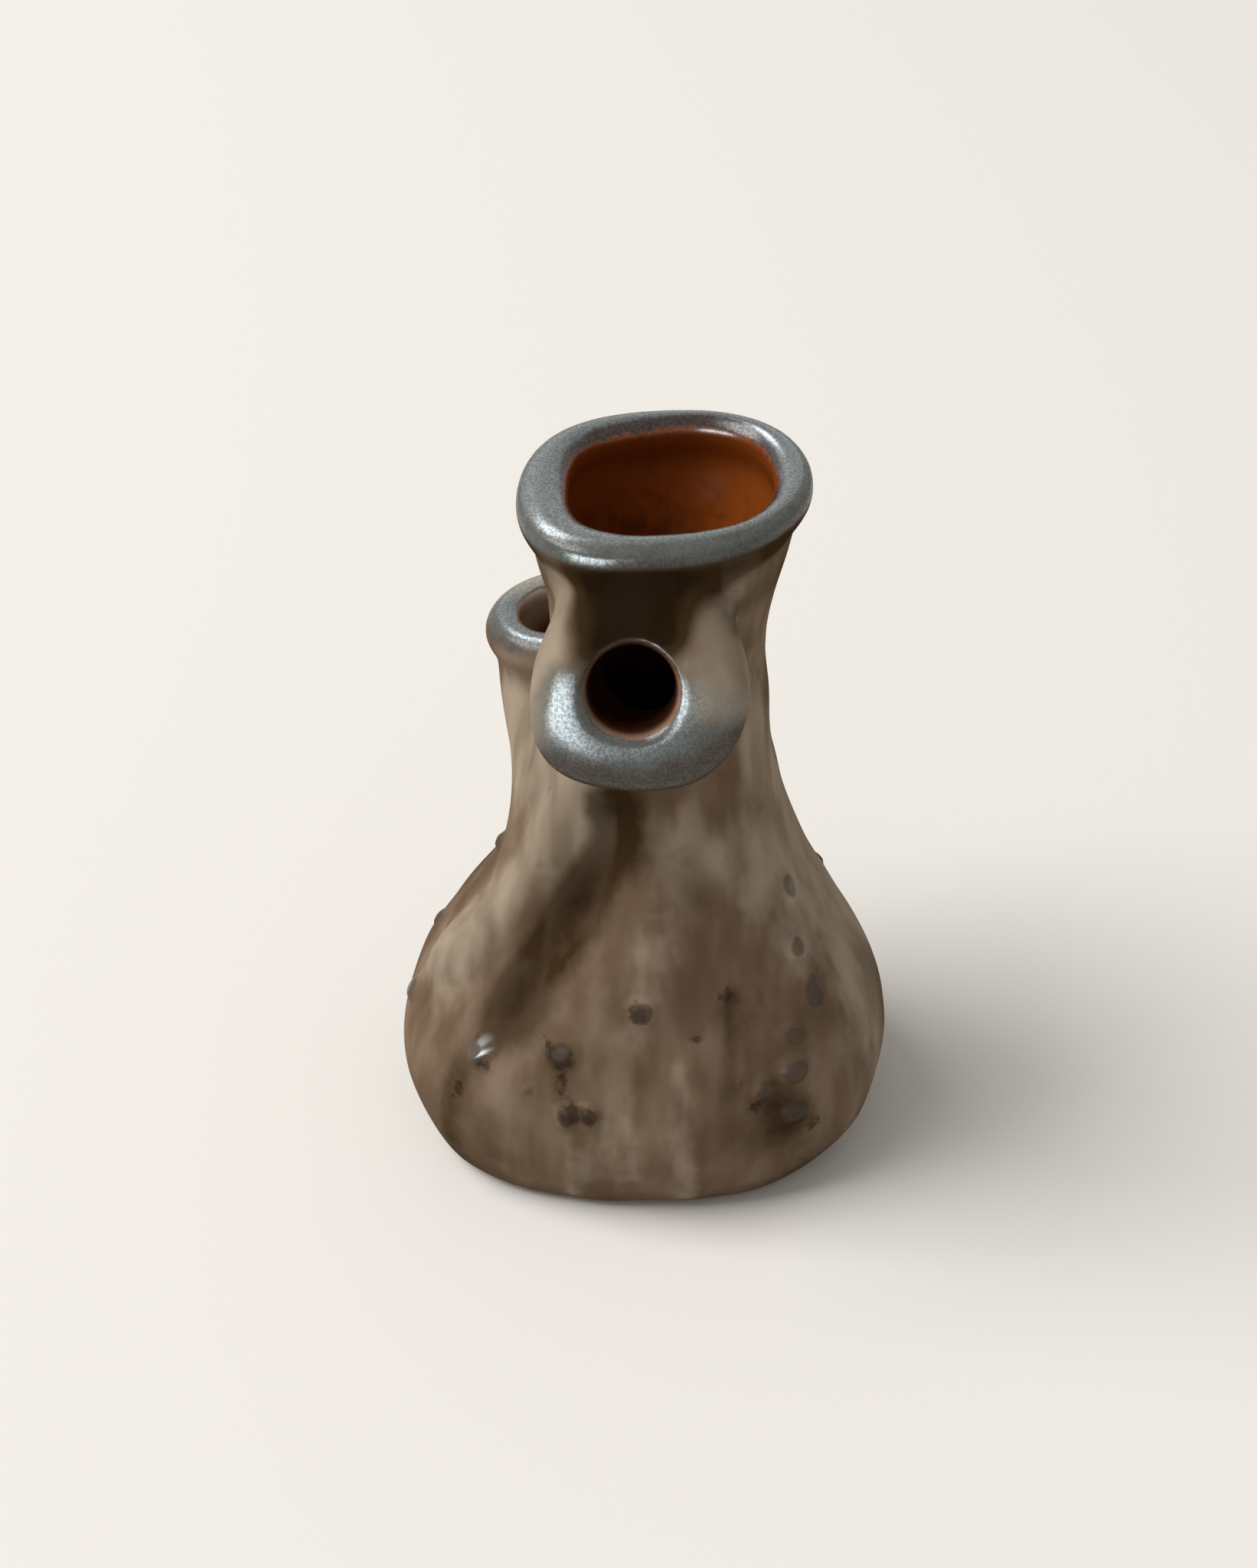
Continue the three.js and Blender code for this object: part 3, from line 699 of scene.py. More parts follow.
    def settle(self, p):
        """Points moved along the gradient on to the surface."""
        here = self.distance(p)
        slope = self.slope(p, here)
        steep = np.maximum(np.einsum("ij,ij->i", slope, slope), 0.1)
        for _ in range(self.SETTLING_STEPS):
            p = p - slope * np.clip(here / steep, -self.LONGEST_STEP, self.LONGEST_STEP)[:, None]
            here = self.distance(p)
        return p


def crumb_size(z, angle, radius, azimuth, height, length, width):
    """1 on a crumb's edge, 0 at its middle, with a hand-made unevenness round it."""
    up = 2 * (z - height) / length
    aside = 2 * turned_from(azimuth, angle) * radius / width
    round_it = np.arctan2(up, aside)
    return np.hypot(up, aside) * (1 + 0.1 * np.sin(2 * round_it + azimuth)
                                  + 0.06 * np.sin(3 * round_it + height))


def net(values, corner, step):
    """The surface where a grid of values changes sign, as points and quads facing outwards."""
    inside = values < 0
    cells = np.array(values.shape) - 1
    total = np.zeros((*cells, 3))
    count = np.zeros(cells)
    crossings = []
    for axis in range(3):
        low = [slice(None)] * 3
        high = [slice(None)] * 3
        low[axis] = slice(0, -1)
        high[axis] = slice(1, None)
        low, high = tuple(low), tuple(high)
        crossed = inside[low] != inside[high]
        at = np.argwhere(crossed)
        a = values[low][crossed]
        b = values[high][crossed]
        place = at.astype(float)
        place[:, axis] += a / (a - b)
        others = [i for i in range(3) if i != axis]
        around = []
        for first in (-1, 0):
            for second in (-1, 0):
                cell = at.copy()
                cell[:, others[0]] += first
                cell[:, others[1]] += second
                around.append(cell)
                real = ((cell >= 0) & (cell < cells)).all(1)
                spot = tuple(cell[real].T)
                np.add.at(total, spot, place[real])
                np.add.at(count, spot, 1)
        crossings.append((axis, around, a < b))
    used = count > 0
    ids = np.full(cells, -1)
    ids[used] = np.arange(used.sum())
    points = total[used] / count[used][:, None] * step + corner
    quads = []
    for axis, around, outward in crossings:
        real = np.ones(len(outward), bool)
        for cell in around:
            real &= ((cell >= 0) & (cell < cells)).all(1)
        loop = np.stack([ids[tuple(around[k][real].T)] for k in (0, 1, 3, 2)], axis=1)
        turned = outward[real] if axis != 1 else ~outward[real]
        loop[turned] = loop[turned][:, ::-1]
        quads.append(loop)
    return points, np.concatenate(quads)


def surface(pot, step):
    """The clay's surface as points and triangles. Only cells near the surface are worked out."""
    low, high = GRID_LOW, GRID_HIGH
    wide = step * GRID_BLOCK
    counts = np.ceil((high - low) / wide).astype(int)
    axes = [low[i] + (np.arange(counts[i]) + 0.5) * wide - step / 2 for i in range(3)]
    centres = np.stack(np.meshgrid(*axes, indexing="ij"), axis=-1).reshape(-1, 3)
    values = pot.distance(centres).reshape(counts)
    for axis in range(3):
        values = values.repeat(GRID_BLOCK, axis)
    near = np.abs(values) < wide * GRID_REACH
    values[near] = pot.distance(np.argwhere(near) * step + low)
    points, quads = net(values, low, step)
    first = np.linalg.norm(points[quads[:, 0]] - points[quads[:, 2]], axis=1)
    second = np.linalg.norm(points[quads[:, 1]] - points[quads[:, 3]], axis=1)
    turned = (second < first)[:, None]
    quads = np.where(turned, np.roll(quads, 1, axis=1), quads)
    return points, np.concatenate([quads[:, [0, 1, 2]], quads[:, [0, 2, 3]]])


def edge_table(triangles):
    """Each triangle's three edges as indices into a list of single edges."""
    pairs = np.sort(np.stack([triangles, np.roll(triangles, -1, axis=1)], axis=2), axis=2)
    size = triangles.max() + 1
    keys, which = np.unique(pairs[..., 0] * size + pairs[..., 1], return_inverse=True)
    return np.stack([keys // size, keys % size], axis=1), which.reshape(-1, 3)


# A cut this close to a triangle's corner, as a share of the edge, goes through the corner.
SLIVER = 0.12

# How a triangle splits when 1, 2 or 3 of its edges get a new point. Numbers 0 to 2 are its corners
# and 3 to 5 the new points on the edges after them.
SPLITS = {
    1: ((0, 3, 2), (3, 1, 2)),
    2: ((0, 1, 4), (0, 4, 5), (5, 4, 2)),
    3: ((0, 3, 5), (3, 1, 4), (5, 4, 2), (3, 4, 5)),
}


def split_edges(triangles, which, new_point):
    """Triangles with new points on some edges, and the triangle that each one came from.

    new_point is -1 for an edge left whole.
    """
    added = new_point[which]
    marks = added >= 0
    count = marks.sum(1)
    parents = [np.flatnonzero(count == 0)]
    made = [triangles[parents[0]]]
    for number, pattern in SPLITS.items():
        old = np.flatnonzero(count == number)
        odd = marks[old] if number == 1 else ~marks[old]
        turn = (odd.argmax(1)[:, None] + np.arange(3)) % 3
        six = np.hstack([np.take_along_axis(triangles[old], turn, 1),
                         np.take_along_axis(added[old], turn, 1)])
        for corners in pattern:
            made.append(six[:, corners])
            parents.append(old)
    return np.concatenate(made), np.concatenate(parents)


def refine(pot, points, triangles, wanted):
    """Halves the edges that wanted picks, so that small forms get enough points."""
    edges, which = edge_table(triangles)
    middle = (points[edges[:, 0]] + points[edges[:, 1]]) / 2
    marked = wanted(middle)
    new_point = np.full(len(edges), -1)
    new_point[marked] = len(points) + np.arange(marked.sum())
    finer, _ = split_edges(triangles, which, new_point)
    return np.vstack([points, pot.settle(middle[marked])]), finer


def cut(points, triangles, field):
    """Puts a line of edges on the surface where a field is 0.

    Returns the new points and triangles, each one's old triangle and whether its field is over 0.
    """
    value = field(points)
    edges, which = edge_table(triangles)
    a, b = value[edges[:, 0]], value[edges[:, 1]]
    share = a / np.where(a == b, 1.0, a - b)
    crossed = (a < 0) != (b < 0)
    # A point that almost lies on the line is taken as on it, which leaves no slivers.
    for side, close in enumerate((share < SLIVER, share > 1 - SLIVER)):
        value[edges[crossed & close, side]] = 0.0
    a, b = value[edges[:, 0]], value[edges[:, 1]]
    crossed = a * b < 0
    share = a[crossed] / (a[crossed] - b[crossed])
    start, end = points[edges[crossed, 0]], points[edges[crossed, 1]]
    made = start + (end - start) * share[:, None]
    new_point = np.full(len(edges), -1)
    new_point[crossed] = len(points) + np.arange(crossed.sum())
    points = np.vstack([points, made])
    value = np.append(value, np.zeros(len(made)))
    triangles, parents = split_edges(triangles, which, new_point)
    side = value[triangles]
    heavy = np.abs(side).argmax(1)
    return points, triangles, parents, side[np.arange(len(triangles)), heavy] > 0


class Mask:
    """Scalar fields, over 0 on the part of the surface that belongs to a clay piece."""

    LIP_SPARE = 2.2
    LIP_SPARE_UNDER = 1.2
    HOLLOW_KEEPS = 0.8
    BORE_SPARE = 1.6
    STEM_SPARE = 0.2
    STEM_BEYOND = 6.0
    STEM_TURNS = (0.15, 0.85)
    STEM_UNDER_LIP = 1.5
    CRUMB_EDGE = 1.35
    CRUMB_SKIN = 2.0
    CRUMB_OFF_SEAM = 0.5
    FLOOR_RISES = 4.5
    THINNEST = 0.1

    def __init__(self, pot):
        self.pot = pot

    def faces(self, p):
        """The fields of the wall's outer face and of the hollow, and how thick the wall is."""
        outer, hollow, _, _ = self.pot.wall(p)
        return outer, hollow, np.maximum(hollow - outer, self.THINNEST)

    def lip(self, spout, wider=0.0):
        """A spout's lip, which takes in its fillet and the mouth of its bore."""
        def field(p):
            height, out, angle = spout.local(p)
            over = spout.half + self.LIP_SPARE + wider - height
            under = height + spout.half + self.LIP_SPARE_UNDER + wider
            _, hollow, _, _ = self.pot.wall(p)
            beside = np.minimum(spout.edge.at(angle) + self.LIP_SPARE + wider - out,
                                hollow - self.HOLLOW_KEEPS)
            return np.minimum(np.minimum(beside, over), under)
        return field

    def stem(self, spout):
        """A spout's stem: its own radius at the wall's outer face, the bore's inside."""
        def field(p):
            away, radius = spout.along(p, beyond=self.STEM_BEYOND)
            _, hollow, wall = self.faces(p)
            depth = smoothstep(*self.STEM_TURNS, np.clip(hollow / wall, 0.0, 1.0))
            inner = spout.bore + self.BORE_SPARE
            body = inner + (radius + self.STEM_SPARE - inner) * depth - away
            return np.maximum(body, self.lip(spout, wider=self.STEM_UNDER_LIP)(p))
        return field

    def crumb(self, azimuth, height, length, width):
        """A crumb with its skirt, on the wall's outer face and clear of the seam."""
        def field(p):
            outer, _, angle, radius = self.pot.wall(p)
            size = crumb_size(p[:, 2], angle, radius, azimuth, height, length, width)
            off_seam = np.abs(p[:, 2] - SEAM_Z) - self.CRUMB_OFF_SEAM
            on_face = np.minimum(outer + self.CRUMB_SKIN, off_seam) / width
            return np.minimum(self.CRUMB_EDGE - size, on_face)
        return field

    def floor(self, p):
        """The floor slab, whose seam rises from the inside to the heel."""
        outer, _, wall = self.faces(p)
        depth = np.clip(-outer / wall, 0.0, 1.0)
        return FLOOR_TOP_Z + self.FLOOR_RISES * depth - p[:, 2]


def boundary_loops(triangles):
    """Closed loops of the edges that only one triangle has, each in its triangles' order."""
    pairs = np.concatenate([triangles[:, [0, 1]], triangles[:, [1, 2]], triangles[:, [2, 0]]])
    size = pairs.max() + 1
    forward = pairs[:, 0] * size + pairs[:, 1]
    back = pairs[:, 1] * size + pairs[:, 0]
    after = {}
    for a, b in pairs[~np.isin(forward, back)].tolist():
        after.setdefault(a, []).append(b)
    loops = []
    while after:
        start = next(iter(after))
        loop = []
        there = start
        while not loop or there != start:
            loop.append(there)
            ways = after[there]
            step = ways.pop()
            if not ways:
                del after[there]
            there = step
        loops.append(loop)
    return loops


def along_loop(points, loop):
    """Each point's share of the way round a loop."""
    ring = points[loop]
    gaps = np.linalg.norm(np.roll(ring, -1, axis=0) - ring, axis=1)
    return np.concatenate([[0.0], np.cumsum(gaps)[:-1]]) / gaps.sum()


def strip(first, second, first_share, second_share):
    """Triangles between two loops that run the same way."""
    made = []
    i = j = 0
    n, m = len(first), len(second)
    while i < n or j < m:
        next_i = first_share[i + 1] if i + 1 < n else 1.0 + (i >= n)
        next_j = second_share[j + 1] if j + 1 < m else 1.0 + (j >= m)
        if i < n and (j >= m or next_i <= next_j):
            made.append((first[i % n], first[(i + 1) % n], second[j % m]))
            i += 1
        else:
            made.append((first[i % n], second[(j + 1) % m], second[j % m]))
            j += 1
    return made


def turn_to(points, loop, anchor):
    """A loop that starts at its point nearest to an anchor."""
    nearest = int(np.linalg.norm(points[loop] - anchor, axis=1).argmin())
    return loop[nearest:] + loop[:nearest]


def loop_area(points, loop):
    """Twice the area that a loop spans, as a vector across it."""
    ring = points[loop] - points[loop].mean(0)
    return np.cross(ring, np.roll(ring, -1, axis=0)).sum(0)


# How deep a cap's inner points lie in the clay, how many steps may take them there and the longest.
CAP_DEPTH = 0.35
CAP_PUSHES = 3
CAP_LONGEST_PUSH = 0.8
CAP_RINGS = 3


def push_in(pot, ring):
    """Points of a cap moved until they lie deep enough in the clay."""
    for _ in range(CAP_PUSHES):
        shallow = pot.distance(ring) > -CAP_DEPTH
        if not shallow.any():
            break
        here = pot.distance(ring[shallow])
        slope = pot.slope(ring[shallow], here)
        steep = np.maximum(np.linalg.norm(slope, axis=1), 0.3)
        push = np.clip((here + CAP_DEPTH) / steep ** 2, -CAP_LONGEST_PUSH, CAP_LONGEST_PUSH)
        ring[shallow] -= slope * push[:, None]
    return ring


def cap_between(pot, points, outer, inner):
    """Closes the clay between an outer and an inner loop. Returns points and triangles."""
    if loop_area(points, outer) @ loop_area(points, inner) < 0:
        inner = inner[::-1]
    inner = turn_to(points, inner, points[outer[0]])
    outer_share = along_loop(points, outer)
    inner_share = along_loop(points, inner)
    closed = np.append(inner_share, 1.0)
    ring_points = np.vstack([points[inner], points[inner[:1]]])
    matched = np.stack([np.interp(outer_share, closed, ring_points[:, k]) for k in range(3)], 1)
    made = []
    last, last_share = outer, outer_share
    for k in range(1, CAP_RINGS + 1):
        t = k / (CAP_RINGS + 1)
        ring = push_in(pot, points[outer] * (1 - t) + matched * t)
        ids = list(range(len(points), len(points) + len(ring)))
        points = np.vstack([points, ring])
        made += strip(last, ids, last_share, outer_share)
        last, last_share = ids, outer_share
    made += strip(last, inner, last_share, inner_share)
    return points, made


def cap_over(pot, points, loop, depth):
    """Closes a single loop with a dish that lies in the clay."""
    centre = points[loop].mean(0)
    inward = -pot.slope(centre[None], pot.distance(centre[None]))[0]
    inward /= np.linalg.norm(inward)
    ring = points[loop] * 0.5 + centre * 0.5 + inward * depth * 0.75
    ids = list(range(len(points), len(points) + len(loop)))
    tip = len(points) + len(loop)
    points = np.vstack([points, ring, centre + inward * depth])
    share = along_loop(points, loop)
    made = strip(loop, ids, share, share)
    made += [(ids[i], ids[(i + 1) % len(ids)], tip) for i in range(len(ids))]
    return points, made


def faces_right(triangles, cap):
    """The cap's triangles, turned if need be, so that they carry on a piece's own."""
    cap = np.array(cap)
    size = max(triangles.max(), cap.max()) + 1
    held = np.concatenate([triangles[:, i] * size + triangles[:, i - 2] for i in range(3)])
    same = np.concatenate([cap[:, i] * size + cap[:, i - 2] for i in range(3)])
    against = np.concatenate([cap[:, i - 2] * size + cap[:, i] for i in range(3)])
    return cap[:, ::-1] if np.isin(same, held).sum() > np.isin(against, held).sum() else cap


# A patch with less than this share of its label's triangles is a stray one.
STRAY_PATCH = 0.04


def whole_patches(triangles, labels):
    """Labels without stray small patches, which take their neighbours' label."""
    _, which = edge_table(triangles)
    order = which.ravel().argsort(kind="stable")
    edge = which.ravel()[order]
    side = order // 3
    both = edge[1:] == edge[:-1]
    a, b = side[:-1][both], side[1:][both]
    joined = labels[a] == labels[b]
    root = np.arange(len(triangles))
    while True:
        before = root.copy()
        low = np.minimum(root[a[joined]], root[b[joined]])
        np.minimum.at(root, before[a[joined]], low)
        np.minimum.at(root, before[b[joined]], low)
        root = root[root]
        if (root == before).all():
            break
    patches, sizes = np.unique(root, return_counts=True)
    for patch, size in zip(patches, sizes):
        if size > STRAY_PATCH * (labels == labels[patch]).sum():
            continue
        edge_of = root[a] == patch
        others = np.concatenate([labels[b[edge_of & (root[b] != patch)]],
                                 labels[a[(root[b] == patch) & ~edge_of]]])
        names, counts = np.unique(others.astype(str), return_counts=True)
        labels[root == patch] = names[counts.argmax()]
    return labels


class Clay:
    """The pot's surface, cut into the pieces that the potter joined."""

    SEAMS = (
        ("floor_slab", "belly_wall"), ("belly_wall", "neck_wall"), ("neck_wall", "main_lip"),
        ("neck_wall", "front_spout"), ("front_spout", "front_lip"),
        ("neck_wall", "back_spout"), ("back_spout", "back_lip"),
    )
    CRUMB_DEPTH = 0.9
    # How far round the lips and crumbs the surface gets more points.
    LIP_ROOM = 3.0
    CRUMB_ROOMS = (2.4, 1.8)
    CRUMB_SKIN = 2.5
    # A loop is shared if the neighbour has more than this share of its points.
    SHARED = 0.9

    def __init__(self, sizes):
        pot = Pot(sizes)
        self.pot = pot
        points, triangles = surface(pot, sizes.grid_step / MM)
        points = pot.settle(points)
        for wanted in (self.rolled_edges, *map(self.near_crumbs, self.CRUMB_ROOMS)):
            points, triangles = refine(pot, points, triangles, wanted)
        mask = Mask(pot)
        fields = {f"crumb_{i:02d}": mask.crumb(*crumb[:4]) for i, crumb in enumerate(CRUMBS, 1)}
        fields |= {
            "front_lip": mask.lip(pot.front),
            "back_lip": mask.lip(pot.back),
            "front_spout": mask.stem(pot.front),
            "back_spout": mask.stem(pot.back),
            "main_lip": lambda p: p[:, 2] - LIP_SEAT_Z,
            "neck_wall": lambda p: p[:, 2] - SEAM_Z,
            "floor_slab": mask.floor,
        }
        labels = np.full(len(triangles), "belly_wall", dtype=object)
        for name, field in fields.items():
            points, triangles, parents, over = cut(points, triangles, field)
            labels = labels[parents]
            labels[over & (labels == "belly_wall")] = name
        labels = whole_patches(triangles, labels)
        self.points = points
        self.pieces = {name: triangles[labels == name] for name in (*fields, "belly_wall")}
        here = pot.distance(points)
        normals = pot.slope(points, here)
        self.normals = normals / np.linalg.norm(normals, axis=1)[:, None]
        self.close_pieces()

    def rolled_edges(self, p):
        """Picks the surface of the main lip and of the spouts' lips."""
        near = p[:, 2] > LIP_SEAT_Z - self.LIP_ROOM
        for spout in (self.pot.front, self.pot.back):
            height, out, _ = spout.local(p)
            beside = out < spout.edge.table.max() + 1.0
            near |= (np.abs(height) < spout.half + self.LIP_ROOM) & beside
        return near

    def near_crumbs(self, reach):
        """Picks the surface within a reach of each crumb, where 1 is the crumb's edge."""
        pot = self.pot

        def wanted(p):
            outer, _, angle, radius = pot.wall(p)
            near = np.zeros(len(p), bool)
            for crumb in CRUMBS:
                near |= crumb_size(p[:, 2], angle, radius, *crumb[:4]) < reach
            return near & (np.abs(outer) < self.CRUMB_SKIN)
        return wanted

    def close_pieces(self):
        """Puts one cap between each two pieces that meet, and gives it to both."""
        self.caps = {name: [] for name in self.pieces}
        for first, second in self.SEAMS:
            shared = self.shared_loops(first, second)
            if len(shared) != 2:
                raise RuntimeError(f"{first} and {second} meet in {len(shared)} loops, not in 2")
            shared.sort(key=lambda loop: -np.linalg.norm(loop_area(self.points, loop)))
            self.points, cap = cap_between(self.pot, self.points, *shared)
            self.give_cap(cap, first, second)
        for name in self.pieces:
            if not name.startswith("crumb_"):
                continue
            loops = boundary_loops(self.pieces[name])
            neighbour = "neck_wall" if self.points[loops[0]][:, 2].mean() > SEAM_Z else "belly_wall"
            for loop in loops:
                self.points, cap = cap_over(self.pot, self.points, loop, self.CRUMB_DEPTH)
                self.give_cap(cap, name, neighbour)

    def give_cap(self, cap, *names):
        """Adds a cap to pieces, turned to suit each one."""
        for name in names:
            self.caps[name].append(faces_right(self.pieces[name], cap))

    def piece(self, name):
        """A closed piece's points, triangles, and a normal for each corner of each triangle."""
        own = self.pieces[name]
        caps = self.caps[name]
        triangles = np.concatenate([own, *caps])
        a, b, c = (self.points[triangles[len(own):, k]] for k in range(3))
        flat = np.cross(b - a, c - a)
        flat /= np.maximum(np.linalg.norm(flat, axis=1), 1e-12)[:, None]
        normals = np.concatenate([self.normals[own], np.repeat(flat[:, None], 3, axis=1)])
        used, places = np.unique(triangles, return_inverse=True)
        return self.points[used], places.reshape(-1, 3), normals.reshape(-1, 3)

    def shared_loops(self, first, second):
        """The loops where two pieces meet."""
        theirs = {v for loop in boundary_loops(self.pieces[second]) for v in loop}
        loops = boundary_loops(self.pieces[first])
        return [loop for loop in loops if sum(v in theirs for v in loop) > self.SHARED * len(loop)]


# Where the glazes meet, in mm. The red of the hollow climbs over the wall's inner edge, less and
# less between two heights, and a little more at the rear, which is given by an azimuth and cosines.
RED_CLIMBS = 1.5
RED_ENDS = (114.0, 117.5)
REAR_AZIMUTH = 75.0
REAR_COSINES = (0.35, 0.95)
REAR_CLIMBS = 1.9
REAR_LIMIT = 0.15
# The hollow is black at the lower height and lit at the upper one.
HOLLOW_LIT = (76.0, 108.0)
MAIN_LIP_GREY = (116.0, 118.5)

# A spout's red ends this far from its bore, and above its mouth. A pale ring lies round it, up to
# these sines of the angle round the mouth; it is weaker above, which paints light on its lower half.
RED_PAST_BORE = 1.0
RED_OVER_MOUTH = (0.5, 2.0)
RING_MIDDLE = 0.7
RING_HALF = 0.3
RING_FADES = (-0.3, 0.6)
# The grey of a spout's lip: how it fades beside the edge, over its lowest level, above the lip and
# at its upper end.
GREY_BESIDE = (-2.0, 2.5)
GREY_RISES_IN = 2.5
GREY_OVER = (0.5, 3.0)
GREY_UP = (-9.0, 4.0)

# How the masks of a crumb fade, where 1 is its edge.
CRUMB_FADES = (0.4, 1.3)
BEAD_FADES = (0.5, 1.2)


def crumb_masks(z, angle, radius, outer):
    """Where the glaze lies over crumbs, and where it is glossy on them."""
    crumb, bead = np.zeros(len(z)), np.zeros(len(z))
    for azimuth, height, length, width, _ in CRUMBS:
        close = np.flatnonzero((np.abs(z - height) < length) & (outer > -1.0))
        size = crumb_size(z[close], angle[close], radius[close], azimuth, height, length, width)
        glossy = next(gloss for limit, gloss in CRUMB_GLOSS if azimuth < limit)
        crumb[close] = np.maximum(crumb[close], fade(*CRUMB_FADES, size))
        bead[close] = np.maximum(bead[close], fade(*BEAD_FADES, size) * glossy)
    return crumb, bead


def between(pair, level, value):
    """A smooth rise from 0 to 1, between two distances from a level."""
    return smoothstep(level + pair[0], level + pair[1], value)


def spout_masks(spout, p):
    """One spout's red, where its bore is, how dark that is, the lip's grey and the pale ring."""
    height, out, turn = spout.local(p)
    away, _ = spout.along(p, beyond=spout.opens)
    past = away - spout.bore
    red = 2.2 * (RED_PAST_BORE - past) - 4.0 * between(RED_OVER_MOUTH, spout.top, height)
    in_bore = (past < RED_PAST_BORE) & (height < spout.top)
    dark = fade(-spout.half - spout.lit_down_to, spout.top, height)
    grey = (fade(*GREY_BESIDE, out - spout.edge.at(turn))
            * smoothstep(spout.grey_from, spout.grey_from + GREY_RISES_IN, height)
            * (1.0 - between(GREY_OVER, spout.half, height))
            * (1.0 - between(GREY_UP, spout.grey_up_to, out * np.sin(turn))))
    around = np.exp(-((past - RING_MIDDLE) / RING_HALF) ** 2) * (height > 0)
    ring = around * (1 - 0.7 * smoothstep(*RING_FADES, np.sin(turn)))
    return red, in_bore, dark, grey, ring


def glaze_masks(pot, p):
    """What the glaze needs to know at each point, as named numbers."""
    outer, hollow, angle, radius = pot.wall(p)
    z = p[:, 2]
    inward = RED_CLIMBS * fade(*RED_ENDS, z) - hollow
    rear = smoothstep(*REAR_COSINES, np.cos(angle - math.radians(REAR_AZIMUTH)))
    inward = np.maximum(inward, np.minimum(REAR_LIMIT, REAR_CLIMBS * rear - hollow))
    deep = fade(*HOLLOW_LIT, z)
    lip = smoothstep(*MAIN_LIP_GREY, z)
    ring = np.zeros(len(p))
    for spout in (pot.front, pot.back):
        red, in_bore, dark, grey, pale = spout_masks(spout, p)
        inward = np.maximum(inward, red)
        deep = np.where(in_bore, dark, deep)
        lip = np.maximum(lip, grey)
        ring = np.maximum(ring, pale)
    crumb, bead = crumb_masks(z, angle, radius, outer)
    return {
        "inward": np.clip(inward, -6.0, 6.0), "deep": deep, "lip": lip, "ring": ring,
        "crumb": crumb, "bead": bead,
        # Clouds with painted shade, and runs with painted light.
        "cloud_and_painted_shade": pot.along_lines(z, angle, radius, CLOUDS_AND_PAINTED_SHADE),
        "run": pot.along_lines(z, angle, radius, RUNS_AND_PAINTED_LIGHT),
        "spot": pot.relief(z, angle, radius, SPOTS),
    }


class Wire:
    """A number that comes out of a node. Arithmetic on it adds Math nodes."""

    def __init__(self, graph, socket):
        self.graph = graph
        self.socket = socket

    def math(self, operation, first, second):
        return self.graph.node("ShaderNodeMath", {"operation": operation}, {0: first, 1: second})

    def __add__(self, other):
        return self.math("ADD", self, other)

    def __sub__(self, other):
        return self.math("SUBTRACT", self, other)

    def __rsub__(self, other):
        return self.math("SUBTRACT", other, self)

    def __mul__(self, other):
        return self.math("MULTIPLY", self, other)

    __radd__ = __add__
    __rmul__ = __mul__


class Graph:
    """The nodes of one material or world."""

    def __init__(self, tree):
        tree.nodes.clear()
        self.tree = tree

    def node(self, kind, settings=None, values=None, output=0):
        """Adds a node, gives it its settings and then its sockets' values or links."""
        node = self.tree.nodes.new(kind)
        for name, value in (settings or {}).items():
            setattr(node, name, value)
        for name, value in (values or {}).items():
            if isinstance(value, Wire):
                self.tree.links.new(value.socket, node.inputs[name])
            else:
                node.inputs[name].default_value = value
        return Wire(self, node.outputs[output]) if node.outputs else node

    def attribute(self, name):
        return self.node("ShaderNodeAttribute", {"attribute_name": name}, output="Fac")

    def scaled(self, vector, factors):
        return self.node("ShaderNodeVectorMath", {"operation": "MULTIPLY"}, {0: vector, 1: factors})

    def noise(self, vector, scale, detail=3.0, roughness=0.55):
        return self.node("ShaderNodeTexNoise", {}, {
            "Vector": vector, "Scale": scale, "Detail": detail, "Roughness": roughness,
        })

    def ramp(self, value, low, high):
        """0 below low, 1 above high and smooth between them."""
        return self.node("ShaderNodeMapRange", {"interpolation_type": "SMOOTHSTEP"},
                         {"Value": value, "From Min": low, "From Max": high})

    def blend(self, share, first, second):
        """The first colour where share is 0 and the second where it is 1."""
        settings = {"data_type": "RGBA", "clamp_factor": True}
        return self.node("ShaderNodeMix", settings, {0: share, 6: first, 7: second}, output=2)


def linear(red, green, blue):
    """A colour written as 0 to 255 on the screen, as Blender's linear values."""
    parts = (red / 255, green / 255, blue / 255)
    return tuple(c / 12.92 if c <= 0.04045 else ((c + 0.055) / 1.055) ** 2.4 for c in parts)


def colour_property(name, description, *screen):
    return bpy.props.FloatVectorProperty(name=name, description=description, subtype="COLOR",
                                         size=3, min=0.0, max=1.0, default=linear(*screen))


def length_property(name, description, default, low, high):
    return bpy.props.FloatProperty(name=name, description=description, default=default,
                                   min=low, max=high, subtype="DISTANCE", unit="LENGTH")


class VaseSizes(bpy.types.PropertyGroup):
    """Sizes of the vase that its outline leaves free."""

    belly_wall: length_property("Belly wall", "Thickness of the belly's wall", 0.0042, 0.002, 0.006)
    neck_wall: length_property("Neck wall", "Thickness of the neck's wall", 0.0038, 0.002, 0.005)
    lip_height: length_property("Lip height", "Height of the main lip's coil", 0.005, 0.003, 0.007)
    front_bore: length_property("Front bore", "Radius of the front spout's bore",
                                0.0060, 0.003, 0.008)
    back_bore: length_property("Back bore", "Radius of the back spout's bore",
                               0.0063, 0.003, 0.008)
    unevenness: length_property("Unevenness", "Height of the hand-made waves in the wall",
                                0.00022, 0.0, 0.001)
    grid_step: length_property("Grid step", "Spacing of the surface's points",
                               0.0011, 0.0005, 0.002)


